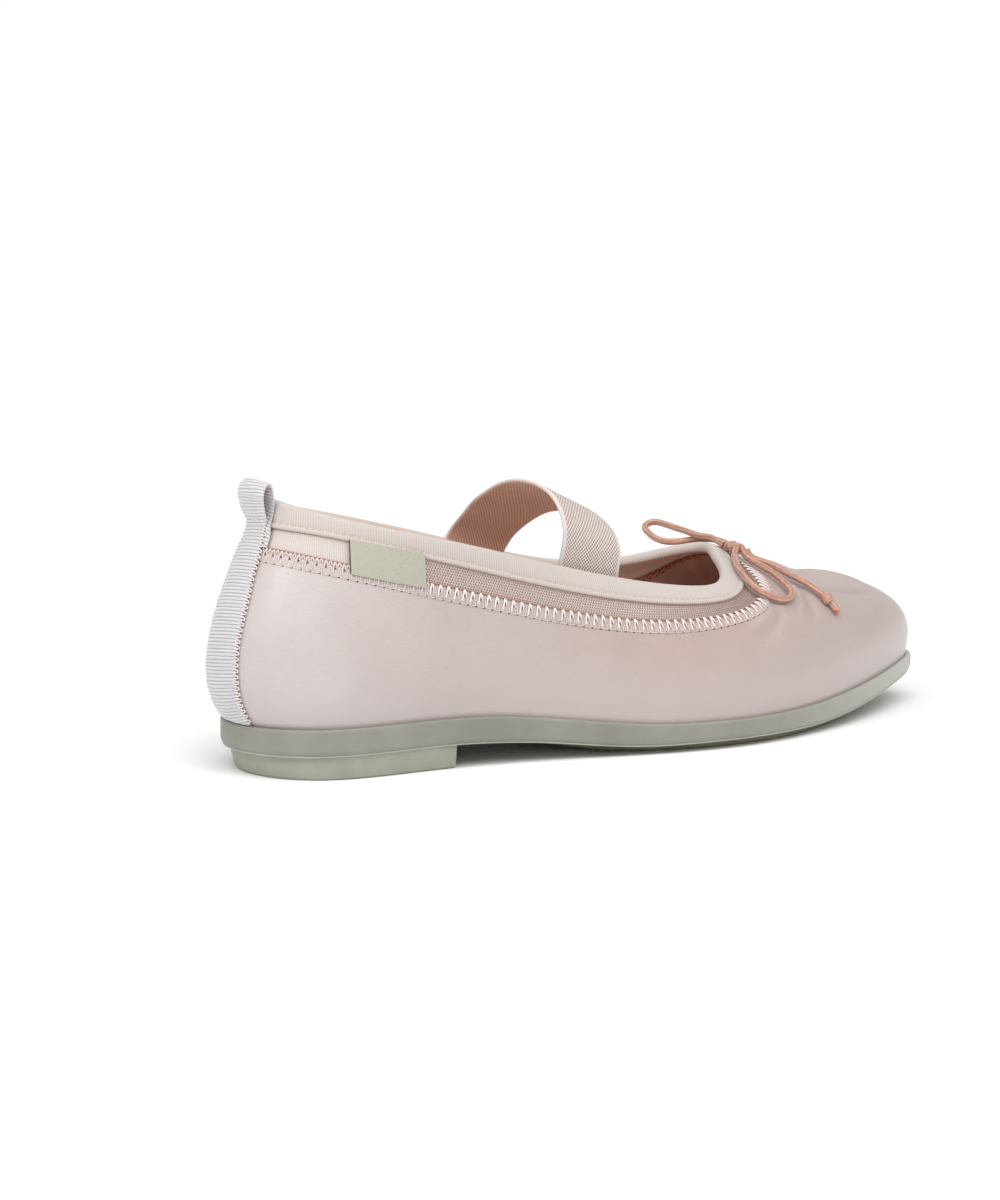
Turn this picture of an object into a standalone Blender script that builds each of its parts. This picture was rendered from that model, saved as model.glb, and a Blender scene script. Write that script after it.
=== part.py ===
"""A woman's mary jane in the ballet style, right shoe, as an assembly of named solids.

The shoe points along +X, its lateral side faces -Y, and it stands on z = 0.  Every size in this
file is in millimetres, and the meshes are made in metres (MM).

A place on the shoe is given by its turn, in degrees around the foot as seen from above: 0 is the
back of the heel, 90 the lateral side, 180 the tip of the toe and 270 the medial side.  A place on
the upper also has a drop, the distance down its wall from the topline, and a lift, the distance
out from its outer skin.
"""
import math
from functools import lru_cache

import bmesh
import bpy
import numpy as np
from mathutils import Matrix

MM = 0.001

# ---- driving sizes ---------------------------------------------------------------------------
LENGTH = 250.0            # outsole, heel to toe
BALL_WIDTH = 79.4         # outsole across the ball
HEEL_HEIGHT = 7.3         # underside of the outsole over the heel block
COLLAR_HEIGHT = 81.5      # topline at the back seam
INSTEP_HEIGHT = 53.2      # topline at the middle of the throat
GAP = 0.3                 # clearance between pieces that are cemented or sewn together

TURNS = 72                # sections around the shoe
BACK = 0.0
FULL = 360.0

RIM = 1.8                 # width of the outsole's rim around the upper
WALL = 1.6                # upper: satin, lining and the foam between
BAND_STEP = 0.6           # how far the knitted band lies below the satin
BINDING_LEG = 0.7         # thickness of each leg of the binding
FLOOR = 3.4               # thickness of the outsole under the foot
INSOLE_THICK = 3.0
HEEL_BREAST = 61.7        # x of the front face of the heel block
HEEL_COLUMNS = 14         # sections of the heel block on each side
TREAD_REAR = 98.0         # forefoot tread along x
TREAD_FRONT = 234.0
TREAD_INSET = 4.6         # tread in from the outline
TREAD_COLUMNS = 48
TREAD_FLAT = 150.0        # x at which the tread meets the ground
TOP_EDGE = 1.3            # drop of the knitted band's raw edge, inside the binding
WALL_ROWS = 8             # rows of the satin between its edge and the rim
STRAP_THICK = 1.2
STRAP_LIFT = -WALL - GAP - BINDING_LEG - GAP - STRAP_THICK / 2   # inside the binding
STRAP_TAIL = 20.0         # length sewn inside the collar
STRAP_SECTIONS = 40
RIBBON_THICK = 0.8
RIBBON_FOOT = 1.8         # lower end of the back seam ribbon above the rim
CORD = 2.1                # diameter of the bow's cord
CORD_STEP = 2.2 * CORD    # distance between the points of a cord

# Half widths of the outsole and the run of the topline, every 15 degrees of turn.  Half widths
# are in hundredths of BALL_WIDTH, x in hundredths of LENGTH and z in hundredths of the way up
# from INSTEP_HEIGHT to COLLAR_HEIGHT.
#   turn  sole_lat  sole_med  top_x_lat  top_x_med  top_lat  top_med  top_z_lat  top_z_med
STATIONS = [
    (0,      0.0,      0.0,       5.3,       5.3,      0.0,     0.0,     100.0,     100.0),
    (15,    18.4,     18.4,       6.0,       6.0,     11.6,    11.6,      97.2,      97.2),
    (30,    32.2,     32.0,       8.8,       8.8,     23.9,    23.4,      89.4,      88.7),
    (45,    36.4,     34.8,      15.2,      15.2,     33.0,    31.7,      74.6,      73.5),
    (60,    35.9,     31.5,      24.8,      24.8,     36.4,    34.8,      53.4,      52.3),
    (75,    40.8,     29.0,      35.2,      35.2,     36.9,    35.8,      28.6,      27.6),
    (90,    49.6,     32.2,      46.0,      45.2,     35.6,    35.8,       3.9,       4.2),
    (105,   52.1,     41.6,      54.8,      53.6,     33.6,    35.3,     -12.0,      -9.2),
    (120,   42.8,     48.6,      60.8,      60.8,     29.3,    34.0,     -18.4,     -10.6),
    (135,   28.2,     47.6,      64.0,      66.2,     22.4,    31.7,     -16.3,      -4.9),
    (150,   12.3,     41.1,      66.3,      69.6,     12.6,    27.2,     -12.0,       0.0),
    (165,   -1.3,     29.5,      68.2,      70.6,      1.3,    19.9,      -6.4,       2.8),
    (180,  -14.1,     14.1,      69.7,      69.7,    -10.1,    10.1,       0.0,       0.0),
]

# The wall where it leaves the sole and where it comes up to the topline: its lean from upright
# and the reach of its curve, lateral then medial.
#   turn  foot_lean  foot_reach  top_lean  top_reach  foot_lean  foot_reach  top_lean  top_reach
WALLS = [
    (0,     45.0,      23.4,      12.7,     10.2,      45.0,      23.4,      12.7,     10.2),
    (15,    42.2,      22.5,      12.5,     12.2,      42.2,      22.5,      12.5,     12.2),
    (30,    31.3,      18.7,      11.6,     20.0,      31.3,      18.7,      11.6,     20.0),
    (60,    18.0,      17.0,       6.0,     18.0,      24.0,      18.0,       2.0,     18.0),
    (90,    12.0,      13.0,      30.0,     15.0,      26.0,      16.0,      14.0,     16.0),
    (120,   16.0,      15.0,      58.0,     20.0,      18.0,      17.0,      50.0,     18.0),
    (150,   19.0,      23.6,      68.0,     22.0,      30.0,      19.0,      77.0,     46.0),
    (180,   17.5,      31.0,      66.0,     22.5,      17.5,      31.0,      66.0,     22.5),
]

# Drop of the binding's lower edge and of the satin's edge, the same on both sides.
#   turn  binding  satin
EDGES = [
    (0,      8.4,    15.2),
    (15,     7.8,    14.6),
    (30,     6.7,    14.1),
    (60,     7.2,    14.5),
    (75,     7.8,    14.6),
    (90,     8.0,    14.6),
    (120,    8.2,    14.1),
    (135,    8.0,    14.2),
    (150,    7.4,    12.3),
    (165,    6.9,     9.7),
    (180,    6.7,     9.2),
]

# Heights of the outsole's underside and rim along its length, with x in hundredths of LENGTH.
#   x        underside     rim
SOLE_RISE = [
    (0.0,     HEEL_HEIGHT,  HEEL_HEIGHT + 8.2),
    (16.0,    HEEL_HEIGHT,  HEEL_HEIGHT + 8.2),
    (24.8,    HEEL_HEIGHT,  HEEL_HEIGHT + 8.1),
    (30.4,    6.8,          14.9),
    (36.8,    5.6,          13.2),
    (44.0,    3.6,          11.0),
    (50.4,    2.6,          9.4),
    (56.8,    2.6,          8.9),
    (64.0,    2.6,          8.7),
    (70.4,    2.6,          8.9),
    (76.8,    3.1,          9.7),
    (83.2,    4.8,          11.2),
    (90.0,    7.2,          13.0),
    (96.0,    9.1,          14.4),
    (100.0,   10.0,         15.0),
]

# Elastic strap above the collar, from the lateral to the medial side: its rear and front edges.
#   rear_x   rear_y   rear_z   front_x  front_y  front_z
STRAP_ARCH = [
    (97.6,   -28.0,    65.6,   118.8,   -26.6,    60.4),
    (97.4,   -28.6,    70.6,   118.6,   -25.6,    64.2),
    (97.0,   -26.4,    76.0,   118.0,   -22.4,    67.6),
    (96.5,   -21.2,    80.1,   117.6,   -17.0,    70.0),
    (95.0,   -13.4,    82.4,   117.4,    -9.6,    71.8),
    (93.4,    -4.6,    82.1,   116.6,    -2.4,    72.2),
    (91.9,     4.8,    79.0,   115.4,     4.5,    70.4),
    (91.1,    10.5,    75.6,   113.6,     9.5,    69.0),
    (90.0,    14.5,    73.0,   111.2,    14.0,    66.1),
    (88.4,    18.0,    69.5,   109.6,    18.0,    63.0),
    (86.8,    24.4,    63.2,   108.6,    24.4,    57.2),
]

# Pull loop and back seam ribbon: drop down the wall, lift of its middle and width.
#   drop    lift   width
RIBBON_RUN = [
    (28.0,    1.20,   15.8),
    (22.0,    1.30,   14.1),
    (17.0,    1.40,   13.2),
    (13.9,    1.35,   11.9),
    (11.2,    1.40,   11.2),
    (9.2,     1.65,   10.8),
    (8.0,     2.00,   11.2),
    (7.0,     2.75,   12.2),
    (5.8,     4.10,   12.8),
    (4.0,     5.40,   12.6),
    (1.6,     6.60,   12.4),
    (-1.4,    7.00,   12.2),
    (-3.6,    6.30,   12.2),
    (-4.3,    5.10,   12.2),
    (-3.4,    3.95,   12.2),
    (-0.9,    2.75,   12.2),
    (2.7,     1.75,   12.4),
    (5.6,     1.20,   12.6),
    (7.8,     1.10,   13.2),
    (10.0,    0.65,   14.4),
    (12.4,    0.35,   15.2),
    (14.4,    0.30,   15.6),
]

# Routes of the bow's cord over the vamp.
#   turn    drop   lift
LATERAL_LOOP = [
    (170.5,   6.3,   2.5),
    (160.5,   5.1,   2.2),
    (152.1,   4.9,   2.1),
    (145.0,   5.9,   2.1),
    (139.0,   7.6,   2.1),
    (134.8,  10.0,   2.0),
    (132.9,  12.6,   1.8),
    (132.6,  16.0,   1.7),
    (133.2,  19.4,   1.6),
    (134.8,  21.8,   1.7),
    (138.0,  23.1,   1.7),
    (141.9,  23.1,   1.8),
    (145.5,  21.4,   1.9),
    (150.7,  19.2,   2.0),
    (156.7,  16.6,   2.0),
    (162.6,  13.3,   2.1),
    (167.0,  10.7,   2.4),
]
LATERAL_END = [
    (172.4,  13.4,   2.0),
    (168.5,  16.4,   1.8),
    (163.0,  21.0,   1.7),
    (157.9,  24.9,   1.6),
    (153.9,  29.0,   1.6),
    (149.4,  33.4,   1.6),
    (146.4,  36.9,   1.6),
    (142.9,  40.2,   1.6),
]
MEDIAL_END = [
    (190.0,  14.0,   2.0),
    (195.0,  17.4,   1.7),
    (200.0,  21.0,   1.6),
    (205.0,  25.4,   1.6),
    (209.6,  30.6,   1.6),
    (213.6,  36.0,   1.6),
    (216.0,  40.0,   1.6),
]
# Route of the loop that stands up over the medial topline.
#   x       y      z
MEDIAL_LOOP = [
    (179.0,  16.6,  55.6),
    (177.4,  21.6,  55.8),
    (176.8,  27.0,  56.4),
    (176.0,  33.0,  57.0),
    (174.6,  38.4,  57.8),
    (172.4,  41.6,  58.0),
    (169.8,  41.2,  57.1),
    (168.4,  37.6,  55.6),
    (168.4,  33.6,  54.3),
    (170.6,  30.4,  53.3),
    (174.0,  28.4,  53.3),
    (178.0,  25.2,  54.0),
    (181.0,  20.6,  54.6),
]
# The knot, and where each cord leaves it, measured from its middle.
#   x       y      z
KNOT_TURN = 180.0
KNOT_DROP = 7.1
KNOT_LIFT = 2.8
KNOT_SIZE = (4.4, 5.8, 3.8)
KNOT_EXITS = {
    "bow_loop_lateral": ((-1.3, -3.6, 0.3), (1.0, -3.6, 0.1)),
    "bow_loop_medial": ((-1.3, 3.6, 0.4), (1.0, 3.6, 0.2)),
    "bow_end_lateral": ((3.2, -2.6, -0.6),),
    "bow_end_medial": ((2.7, 3.0, -0.9),),
}
BOW_PIECES = ("bow_knot", *KNOT_EXITS)


def unit(vector):
    return vector / np.linalg.norm(vector)


def spline(knots, values):
    """Return a natural cubic spline through rows of values as a function of the knots."""
    knots = np.asarray(knots, dtype=float)
    values = np.asarray(values, dtype=float)
    count = len(knots)
    step = np.diff(knots)
    matrix = np.eye(count)
    right = np.zeros_like(values)
    slope = np.diff(values, axis=0) / step.reshape((-1,) + (1,) * (values.ndim - 1))
    for row in range(1, count - 1):
        matrix[row, row - 1:row + 2] = (step[row - 1], 2 * (step[row - 1] + step[row]), step[row])
        right[row] = 6 * (slope[row] - slope[row - 1])
    bend = np.linalg.solve(matrix, right)

    def curve(at):
        row = int(np.clip(np.searchsorted(knots, at) - 1, 0, count - 2))
        span = step[row]
        ahead = (at - knots[row]) / span
        behind = 1.0 - ahead
        cubic = (behind ** 3 - behind) * bend[row] + (ahead ** 3 - ahead) * bend[row + 1]
        return behind * values[row] + ahead * values[row + 1] + cubic * span * span / 6.0

    return curve


def around(rows, lateral, medial, scale=1.0, flip=1.0, start=0.0):
    """Return a smooth closed function of turn from a lateral and a medial column of a table.

    The columns are multiplied by scale and added to start.  flip is -1 for a half width, whose
    lateral side is negative.
    """
    turns = [row[0] for row in rows]
    near = [start + flip * scale * row[lateral] for row in rows]
    far = [start + scale * row[medial] for row in rows]
    knots = turns + [FULL - turn for turn in turns[-2:0:-1]]
    values = near + far[-2:0:-1]
    laps = [turn + lap for lap in (-FULL, 0.0, FULL) for turn in knots]
    curve = spline(laps, values * 3)
    return lambda turn: float(curve(turn % FULL))


WIDTH_UNIT = BALL_WIDTH / 100
LENGTH_UNIT = LENGTH / 100
RISE_UNIT = (COLLAR_HEIGHT - INSTEP_HEIGHT) / 100
sole_side = around(STATIONS, 1, 2, WIDTH_UNIT, flip=-1.0)
top_x = around(STATIONS, 3, 4, LENGTH_UNIT)
top_y = around(STATIONS, 5, 6, WIDTH_UNIT, flip=-1.0)
top_z = around(STATIONS, 7, 8, RISE_UNIT, start=INSTEP_HEIGHT)
foot_lean = around(WALLS, 1, 5)
foot_reach = around(WALLS, 2, 6)
top_lean = around(WALLS, 3, 7)
top_reach = around(WALLS, 4, 8)
binding_drop = around(EDGES, 1, 1)
satin_drop = around(EDGES, 2, 2)
underside = spline([LENGTH_UNIT * row[0] for row in SOLE_RISE], [row[1] for row in SOLE_RISE])
rim_height = spline([LENGTH_UNIT * row[0] for row in SOLE_RISE], [row[2] for row in SOLE_RISE])


def sole_edge(turn):
    """Return the outsole's outline in plan at a turn."""
    return np.array((LENGTH / 2 * (1 - math.cos(math.radians(turn))), sole_side(turn)))


@lru_cache(maxsize=None)
def sole_normal(turn):
    """Return the outward direction of the outline in plan at a turn."""
    along = sole_edge(turn + 0.5) - sole_edge(turn - 0.5)
    return unit(np.array((along[1], -along[0])))


def sole_ring(turn, inset, height):
    """Return a point inset from the outline, at a height that is a function of x."""
    place = sole_edge(turn) - inset * sole_normal(turn)
    return np.array((place[0], place[1], height(place[0])))


def floor_height(x):
    """Return the top of the outsole under the foot."""
    return underside(x) + FLOOR


@lru_cache(maxsize=None)
def wall_curve(turn):
    """Return the upper's outer skin at one turn, from the topline down to the rim."""
    foot = sole_ring(turn, RIM + GAP, rim_height)
    top = np.array((top_x(turn), top_y(turn), top_z(turn)))
    out = sole_normal(turn)
    side = np.array((-out[1], out[0]))
    reach = top[:2] - foot[:2]
    lean_low = math.radians(foot_lean(turn))
    lean_high = math.radians(top_lean(turn))
    handles = np.array((
        (reach @ out, top[2]),
        (reach @ out + top_reach(turn) * math.sin(lean_high),
         top[2] - top_reach(turn) * math.cos(lean_high)),
        (foot_reach(turn) * math.sin(lean_low), foot[2] + foot_reach(turn) * math.cos(lean_low)),
        (0.0, foot[2]),
    ))
    steps = np.linspace(0.0, 1.0, 49)[:, None]
    back = 1.0 - steps
    blend = (back ** 3, 3 * back ** 2 * steps, 3 * back * steps ** 2, steps ** 3)
    shape = sum(weight * handle for weight, handle in zip(blend, handles))
    drift = (reach @ side) * back
    plan = foot[:2] + shape[:, :1] * out + drift * side
    points = np.column_stack((plan, shape[:, 1]))
    lengths = np.concatenate(((0.0,), np.cumsum(np.linalg.norm(np.diff(points, axis=0), axis=1))))
    return points, lengths


def wall_length(turn):
    """Return the length of the upper's wall from topline to rim at a turn."""
    return wall_curve(turn)[1][-1]


def wall_share(turn, share):
    """Return the point a share of the way down the wall at a turn."""
    points, lengths = wall_curve(turn)
    drop = share * lengths[-1]
    place = np.array([np.interp(drop, lengths, points[:, axis]) for axis in range(3)])
    if drop < 0:
        place = points[0] + drop * unit(points[2] - points[0])
    return place


def skin(turn, drop, lift=0.0):
    """Return the point on the upper at a turn, a drop from the topline and a lift outwards."""
    share = drop / wall_length(turn)
    within = min(max(share, 0.01), 0.99)
    along = wall_share(turn + 1.0, within) - wall_share(turn - 1.0, within)
    down = wall_share(turn, within + 0.01) - wall_share(turn, within - 0.01)
    out = unit(np.cross(down, along))
    return wall_share(turn, share) + lift * out


def ring_turns():
    """Return the turns of the shoe's sections."""
    return [FULL * index / TURNS for index in range(TURNS)]


# ---- meshes ----------------------------------------------------------------------------------

def make_material(name, colour, roughness):
    """Return a plain material with a colour and a roughness."""
    material = bpy.data.materials.new(name)
    material.use_nodes = True
    shader = material.node_tree.nodes["Principled BSDF"]
    shader.inputs["Base Color"].default_value = (*colour, 1.0)
    shader.inputs["Roughness"].default_value = roughness
    shader.inputs["Metallic"].default_value = 0.0
    return material


def mesh_object(name, points, faces, material, collection):
    """Return a closed mesh object from points in millimetres."""
    mesh = bpy.data.meshes.new(name)
    mesh.from_pydata([tuple(MM * point) for point in points], [], faces)
    mesh.validate()
    shape = bmesh.new()
    shape.from_mesh(mesh)
    bmesh.ops.recalc_face_normals(shape, faces=shape.faces)
    bmesh.ops.triangulate(shape, faces=shape.faces)
    shape.to_mesh(mesh)
    shape.free()
    mesh.shade_smooth()
    mesh.set_sharp_from_angle(angle=math.radians(40))
    mesh.materials.append(material)
    piece = bpy.data.objects.new(name, mesh)
    collection.objects.link(piece)
    return piece


def sleeve_faces(rows, columns, closed):
    """Return the quads between rows of points, with each row joined to its own start.

    closed joins the last row back to the first, as on a ring.
    """
    faces = []
    for row in range(rows if closed else rows - 1):
        above = row * columns
        below = (row + 1) % rows * columns
        for column in range(columns):
            beside = (column + 1) % columns
            faces.append((above + column, above + beside, below + beside, below + column))
    return faces


def strip_faces(start, columns):
    """Return the quads that close a mirror-like ring across, from each side to the other."""
    faces = [(start, start + 1, start + columns - 1)]
    for column in range(1, columns // 2 - 1):
        faces.append((start + column, start + column + 1,
                      start + columns - column - 1, start + columns - column))
    middle = start + columns // 2
    faces.append((middle - 1, middle, middle + 1))
    return faces


def build_block(name, rows, material, collection):
    """Return a solid lofted through rows of points, closed across its first and last row."""
    columns = len(rows[0])
    faces = sleeve_faces(len(rows), columns, False)
    faces += strip_faces(0, columns)
    faces += strip_faces((len(rows) - 1) * columns, columns)
    points = [point for row in rows for point in row]
    return mesh_object(name, points, faces, material, collection)


def build_ring(name, rows, material, collection):
    """Return a ring-shaped solid lofted around the shoe, its section closed on itself."""
    faces = sleeve_faces(len(rows), len(rows[0]), True)
    points = [point for row in rows for point in row]
    return mesh_object(name, points, faces, material, collection)


def build_band(name, sections, material, collection):
    """Return a solid lofted through closed sections, with a flat cap at each end."""
    columns = len(sections[0])
    faces = sleeve_faces(len(sections), columns, False)
    last = (len(sections) - 1) * columns
    for column in range(1, columns // 2):
        faces.append((column - 1, column, columns - column - 1, columns - column))
        faces.append((last + column - 1, last + column,
                      last + columns - column - 1, last + columns - column))
    points = [point for section in sections for point in section]
    return mesh_object(name, points, faces, material, collection)


# ---- sole ------------------------------------------------------------------------------------

def build_outsole(material, collection):
    """Return the outsole: a shallow cup with a rim around the foot of the upper."""
    def lifted(height, rise):
        return lambda x: height(x) + rise
    levels = [
        (7.0, underside),
        (2.4, underside),
        (0.8, lifted(underside, 0.7)),
        (0.0, lifted(underside, 2.2)),
        (0.0, lifted(rim_height, -0.5)),
        (0.5, rim_height),
        (RIM, rim_height),
        (RIM, floor_height),
        (8.0, floor_height),
    ]
    rows = [[sole_ring(turn, inset, height) for turn in ring_turns()] for inset, height in levels]
    return build_block("outsole", rows, material, collection)


def heel_ring(inset_rear, inset_side, height):
    """Return the heel block's outline at one height, from its lateral to its medial breast."""
    breast = math.degrees(math.acos(1 - 2 * HEEL_BREAST / LENGTH))
    ring = []
    for index in range(-HEEL_COLUMNS, HEEL_COLUMNS + 1):
        turn = -breast * index / HEEL_COLUMNS
        out = sole_normal(turn)
        inset = inset_side + (inset_rear - inset_side) * max(0.0, -out[0]) ** 2
        place = sole_edge(turn) - inset * out
        ring.append(np.array((min(place[0], HEEL_BREAST), place[1], height)))
    return ring


def build_heel(material, collection):
    """Return the heel block, set in under the outsole, with its lower edge eased."""
    top = HEEL_HEIGHT - GAP
    rows = [
        heel_ring(5.4, 3.6, 0.0),
        heel_ring(4.4, 2.8, 0.8),
        heel_ring(3.0, 1.9, top),
    ]
    columns = len(rows[0])
    faces = sleeve_faces(len(rows), columns, False)
    for start in (0, (len(rows) - 1) * columns):
        for column in range(columns // 2):
            left = start + column
            right = start + columns - 1 - column
            if column < columns // 2 - 1:
                faces.append((left, left + 1, right - 1, right))
            else:
                faces.append((left, left + 1, right))
    points = [point for row in rows for point in row]
    return mesh_object("heel", points, faces, material, collection)


def tread_row(inset, height):
    """Return the forefoot tread's outline, inset from its own edge, with rounded ends."""
    middle = (TREAD_REAR + TREAD_FRONT) / 2
    half = (TREAD_FRONT - TREAD_REAR) / 2 - inset
    row = []
    for index in range(TREAD_COLUMNS):
        angle = 2 * math.pi * index / TREAD_COLUMNS
        x = middle - half * math.cos(angle)
        turn = math.degrees(math.acos(1 - 2 * x / LENGTH))
        lateral = sole_side(turn) + TREAD_INSET + inset
        medial = sole_side(FULL - turn) - TREAD_INSET - inset
        centre = (lateral + medial) / 2
        width = (medial - lateral) / 2 * abs(math.sin(angle)) ** 0.5
        side = -1.0 if index <= TREAD_COLUMNS // 2 else 1.0
        row.append(np.array((x, centre + side * width, height(x))))
    return row


def build_tread(material, collection):
    """Return the forefoot tread under the ball, flat where it meets the ground."""
    def top(x):
        return underside(x) - GAP

    def bottom(x):
        return max(0.0, underside(x) - underside(TREAD_FLAT))
    rows = [
        tread_row(0.8, bottom),
        tread_row(0.0, lambda x: bottom(x) + 0.6),
        tread_row(0.0, top),
    ]
    return build_block("forefoot_tread", rows, material, collection)


def build_insole(material, collection):
    """Return the insole, inside the upper and on the floor of the outsole."""
    edge = RIM + GAP + WALL + GAP
    levels = [
        (edge + 0.8, lambda x: floor_height(x) + GAP),
        (edge, lambda x: floor_height(x) + GAP + 0.8),
        (edge, lambda x: floor_height(x) + GAP + INSOLE_THICK - 0.8),
        (edge + 0.8, lambda x: floor_height(x) + GAP + INSOLE_THICK),
    ]
    rows = [[sole_ring(turn, inset, height) for turn in ring_turns()] for inset, height in levels]
    return build_block("insole", rows, material, collection)


# ---- upper -----------------------------------------------------------------------------------

def build_upper(material, collection):
    """Return the upper: one hollow wall, open at the collar and under the foot."""
    def drops(turn):
        satin = satin_drop(turn)
        below = [satin + (wall_length(turn) - satin) * row / WALL_ROWS
                 for row in range(1, WALL_ROWS)]
        tape = binding_drop(turn)
        return [TOP_EDGE, tape * 0.6, tape + 1.0, satin], below

    def foot(turn, inset, height):
        return sole_ring(turn, RIM + GAP + inset, height)

    columns = []
    for turn in ring_turns():
        band, satin = drops(turn)
        column = [skin(turn, drop, -BAND_STEP) for drop in band]
        column.append(skin(turn, band[-1] + 0.6, 0.0))
        column += [skin(turn, drop, 0.0) for drop in satin]
        column.append(foot(turn, 0.0, rim_height))
        column.append(foot(turn, 0.0, lambda x: floor_height(x) + GAP))
        column.append(foot(turn, WALL, lambda x: floor_height(x) + GAP))
        column.append(foot(turn, WALL, lambda x: rim_height(x) + 0.2))
        column += [skin(turn, drop, -WALL) for drop in reversed(satin)]
        column += [skin(turn, drop, -WALL) for drop in reversed(band)]
        columns.append(column)
    rows = [list(row) for row in zip(*columns)]
    return build_ring("upper", rows, material, collection)


def build_binding(material, collection):
    """Return the topline binding, folded over the raw edge of the knitted band."""
    outer = -BAND_STEP + GAP
    inner = -WALL - GAP
    section = [
        (1.0, 0.0, outer),
        (1.0, 0.0, outer + BINDING_LEG),
        (0.5, 0.0, outer + BINDING_LEG + 0.2),
        (0.0, 0.9, outer + BINDING_LEG),
        (0.0, 0.0, (outer + inner) / 2),
        (0.0, 0.9, inner - BINDING_LEG),
        (1.0, 0.0, inner - BINDING_LEG),
        (1.0, 0.0, inner),
        (0.0, TOP_EDGE - GAP, inner),
        (0.0, TOP_EDGE - GAP, outer),
        (0.6, 0.0, outer),
    ]
    rows = [[skin(turn, share * binding_drop(turn) + drop, lift) for turn in ring_turns()]
            for share, drop, lift in section]
    return build_ring("topline_binding", rows, material, collection)


# ---- straps and trims ------------------------------------------------------------------------

def top_turn(x, lateral):
    """Return the turn at which the topline reaches x on one side."""
    low, high = (20.0, 110.0)
    for _ in range(40):
        middle = (low + high) / 2
        low, high = (middle, high) if top_x(middle if lateral else -middle) < x else (low, middle)
    return low if lateral else FULL - low


def strap_path():
    """Return the strap's rear and front edges from one end to the other."""
    tails = []
    for row, lateral in ((STRAP_ARCH[0], True), (STRAP_ARCH[-1], False)):
        rear = top_turn(row[0], lateral)
        front = top_turn(row[3], lateral)
        tails.append([np.concatenate((skin(rear, drop, STRAP_LIFT), skin(front, drop, STRAP_LIFT)))
                      for drop in (STRAP_TAIL, STRAP_TAIL / 2, 0.0)])
    rows = tails[0] + [np.array(row) for row in STRAP_ARCH] + tails[1][::-1]
    lengths = [0.0]
    for before, after in zip(rows, rows[1:]):
        lengths.append(lengths[-1] + np.linalg.norm((after - before)[:3]))
    curve = spline(lengths, rows)
    return [curve(at) for at in np.linspace(0.0, lengths[-1], STRAP_SECTIONS + 1)]


def build_strap(material, collection):
    """Return the elastic strap over the instep, its ends sewn inside the collar."""
    path = strap_path()
    sections = []
    for index, row in enumerate(path):
        rear, front = row[:3], row[3:]
        ahead = path[min(index + 1, len(path) - 1)]
        behind = path[max(index - 1, 0)]
        along = (ahead - behind)[:3] + (ahead - behind)[3:]
        out = unit(np.cross(front - rear, along)) * STRAP_THICK / 2
        middle = (rear + front) / 2
        sections.append([rear + out, middle + out, front + out,
                         front - out, middle - out, rear - out])
    return build_band("instep_strap", sections, material, collection)


def ribbon_turn(side, drop):
    """Return the turn that lies a distance to one side of the back seam at a drop."""
    reach = skin(4.0, max(drop, 0.0))[1] - skin(-4.0, max(drop, 0.0))[1]
    return side * 8.0 / reach


def build_ribbon(material, collection):
    """Return the back seam ribbon, folded over at the top into a pull loop."""
    foot = wall_length(BACK) - RIBBON_FOOT
    rows = [(foot, 1.1, 18.4), (foot - 6.0, 1.1, 18.8)]
    rows += [(foot - 16.0, 1.1, 18.6), (foot - 26.0, 1.1, 17.6)] + RIBBON_RUN
    across = np.linspace(-0.5, 0.5, 7)
    lines = []
    for index, (drop, lift, width) in enumerate(rows):
        before = rows[max(index - 1, 0)]
        after = rows[min(index + 1, len(rows) - 1)]
        run = unit(np.array((after[0] - before[0], after[1] - before[1])))
        sides = []
        for half in (RIBBON_THICK / 2, -RIBBON_THICK / 2):
            place = (drop + half * run[1], lift - half * run[0])
            sides.append([skin(ribbon_turn(width * share, place[0]) % FULL, *place)
                          for share in across])
        lines.append(sides[0] + sides[1][::-1])
    return build_band("heel_ribbon", lines, material, collection)


# ---- bow -------------------------------------------------------------------------------------

def knot_middle():
    """Return the middle of the bow's knot."""
    return skin(KNOT_TURN, KNOT_DROP, KNOT_LIFT)


def cord_route(name, places):
    """Return smooth points along a cord from the knot, and back to it where it is a loop."""
    exits = [knot_middle() + offset for offset in KNOT_EXITS[name]]
    points = [exits[0], *places, *exits[1:]]
    lengths = [0.0]
    for before, after in zip(points, points[1:]):
        lengths.append(lengths[-1] + np.linalg.norm(after - before))
    curve = spline(lengths, points)
    count = max(4, round(lengths[-1] / CORD_STEP))
    return [curve(at) for at in np.linspace(0.0, lengths[-1], count + 1)]


def build_cord(name, places, material, collection):
    """Return a round cord through places on the shoe."""
    route = cord_route(name, places)
    curve = bpy.data.curves.new(name, type="CURVE")
    curve.dimensions = "3D"
    curve.bevel_depth = MM * CORD / 2
    curve.bevel_resolution = 2
    curve.use_fill_caps = True
    line = curve.splines.new("POLY")
    line.points.add(len(route) - 1)
    for point, place in zip(line.points, route):
        point.co = (*(MM * place), 1.0)
    curve.materials.append(material)
    piece = bpy.data.objects.new(name, curve)
    collection.objects.link(piece)
    return piece


def build_knot(material, collection):
    """Return the bow's knot as a plain egg."""
    mesh = bpy.data.meshes.new("bow_knot")
    shape = bmesh.new()
    bmesh.ops.create_uvsphere(shape, u_segments=16, v_segments=8, radius=0.5)
    bmesh.ops.scale(shape, vec=[MM * size for size in KNOT_SIZE], verts=shape.verts)
    bmesh.ops.translate(shape, vec=MM * knot_middle(), verts=shape.verts)
    shape.to_mesh(mesh)
    shape.free()
    mesh.shade_smooth()
    mesh.materials.append(material)
    piece = bpy.data.objects.new("bow_knot", mesh)
    collection.objects.link(piece)
    return piece


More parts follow.
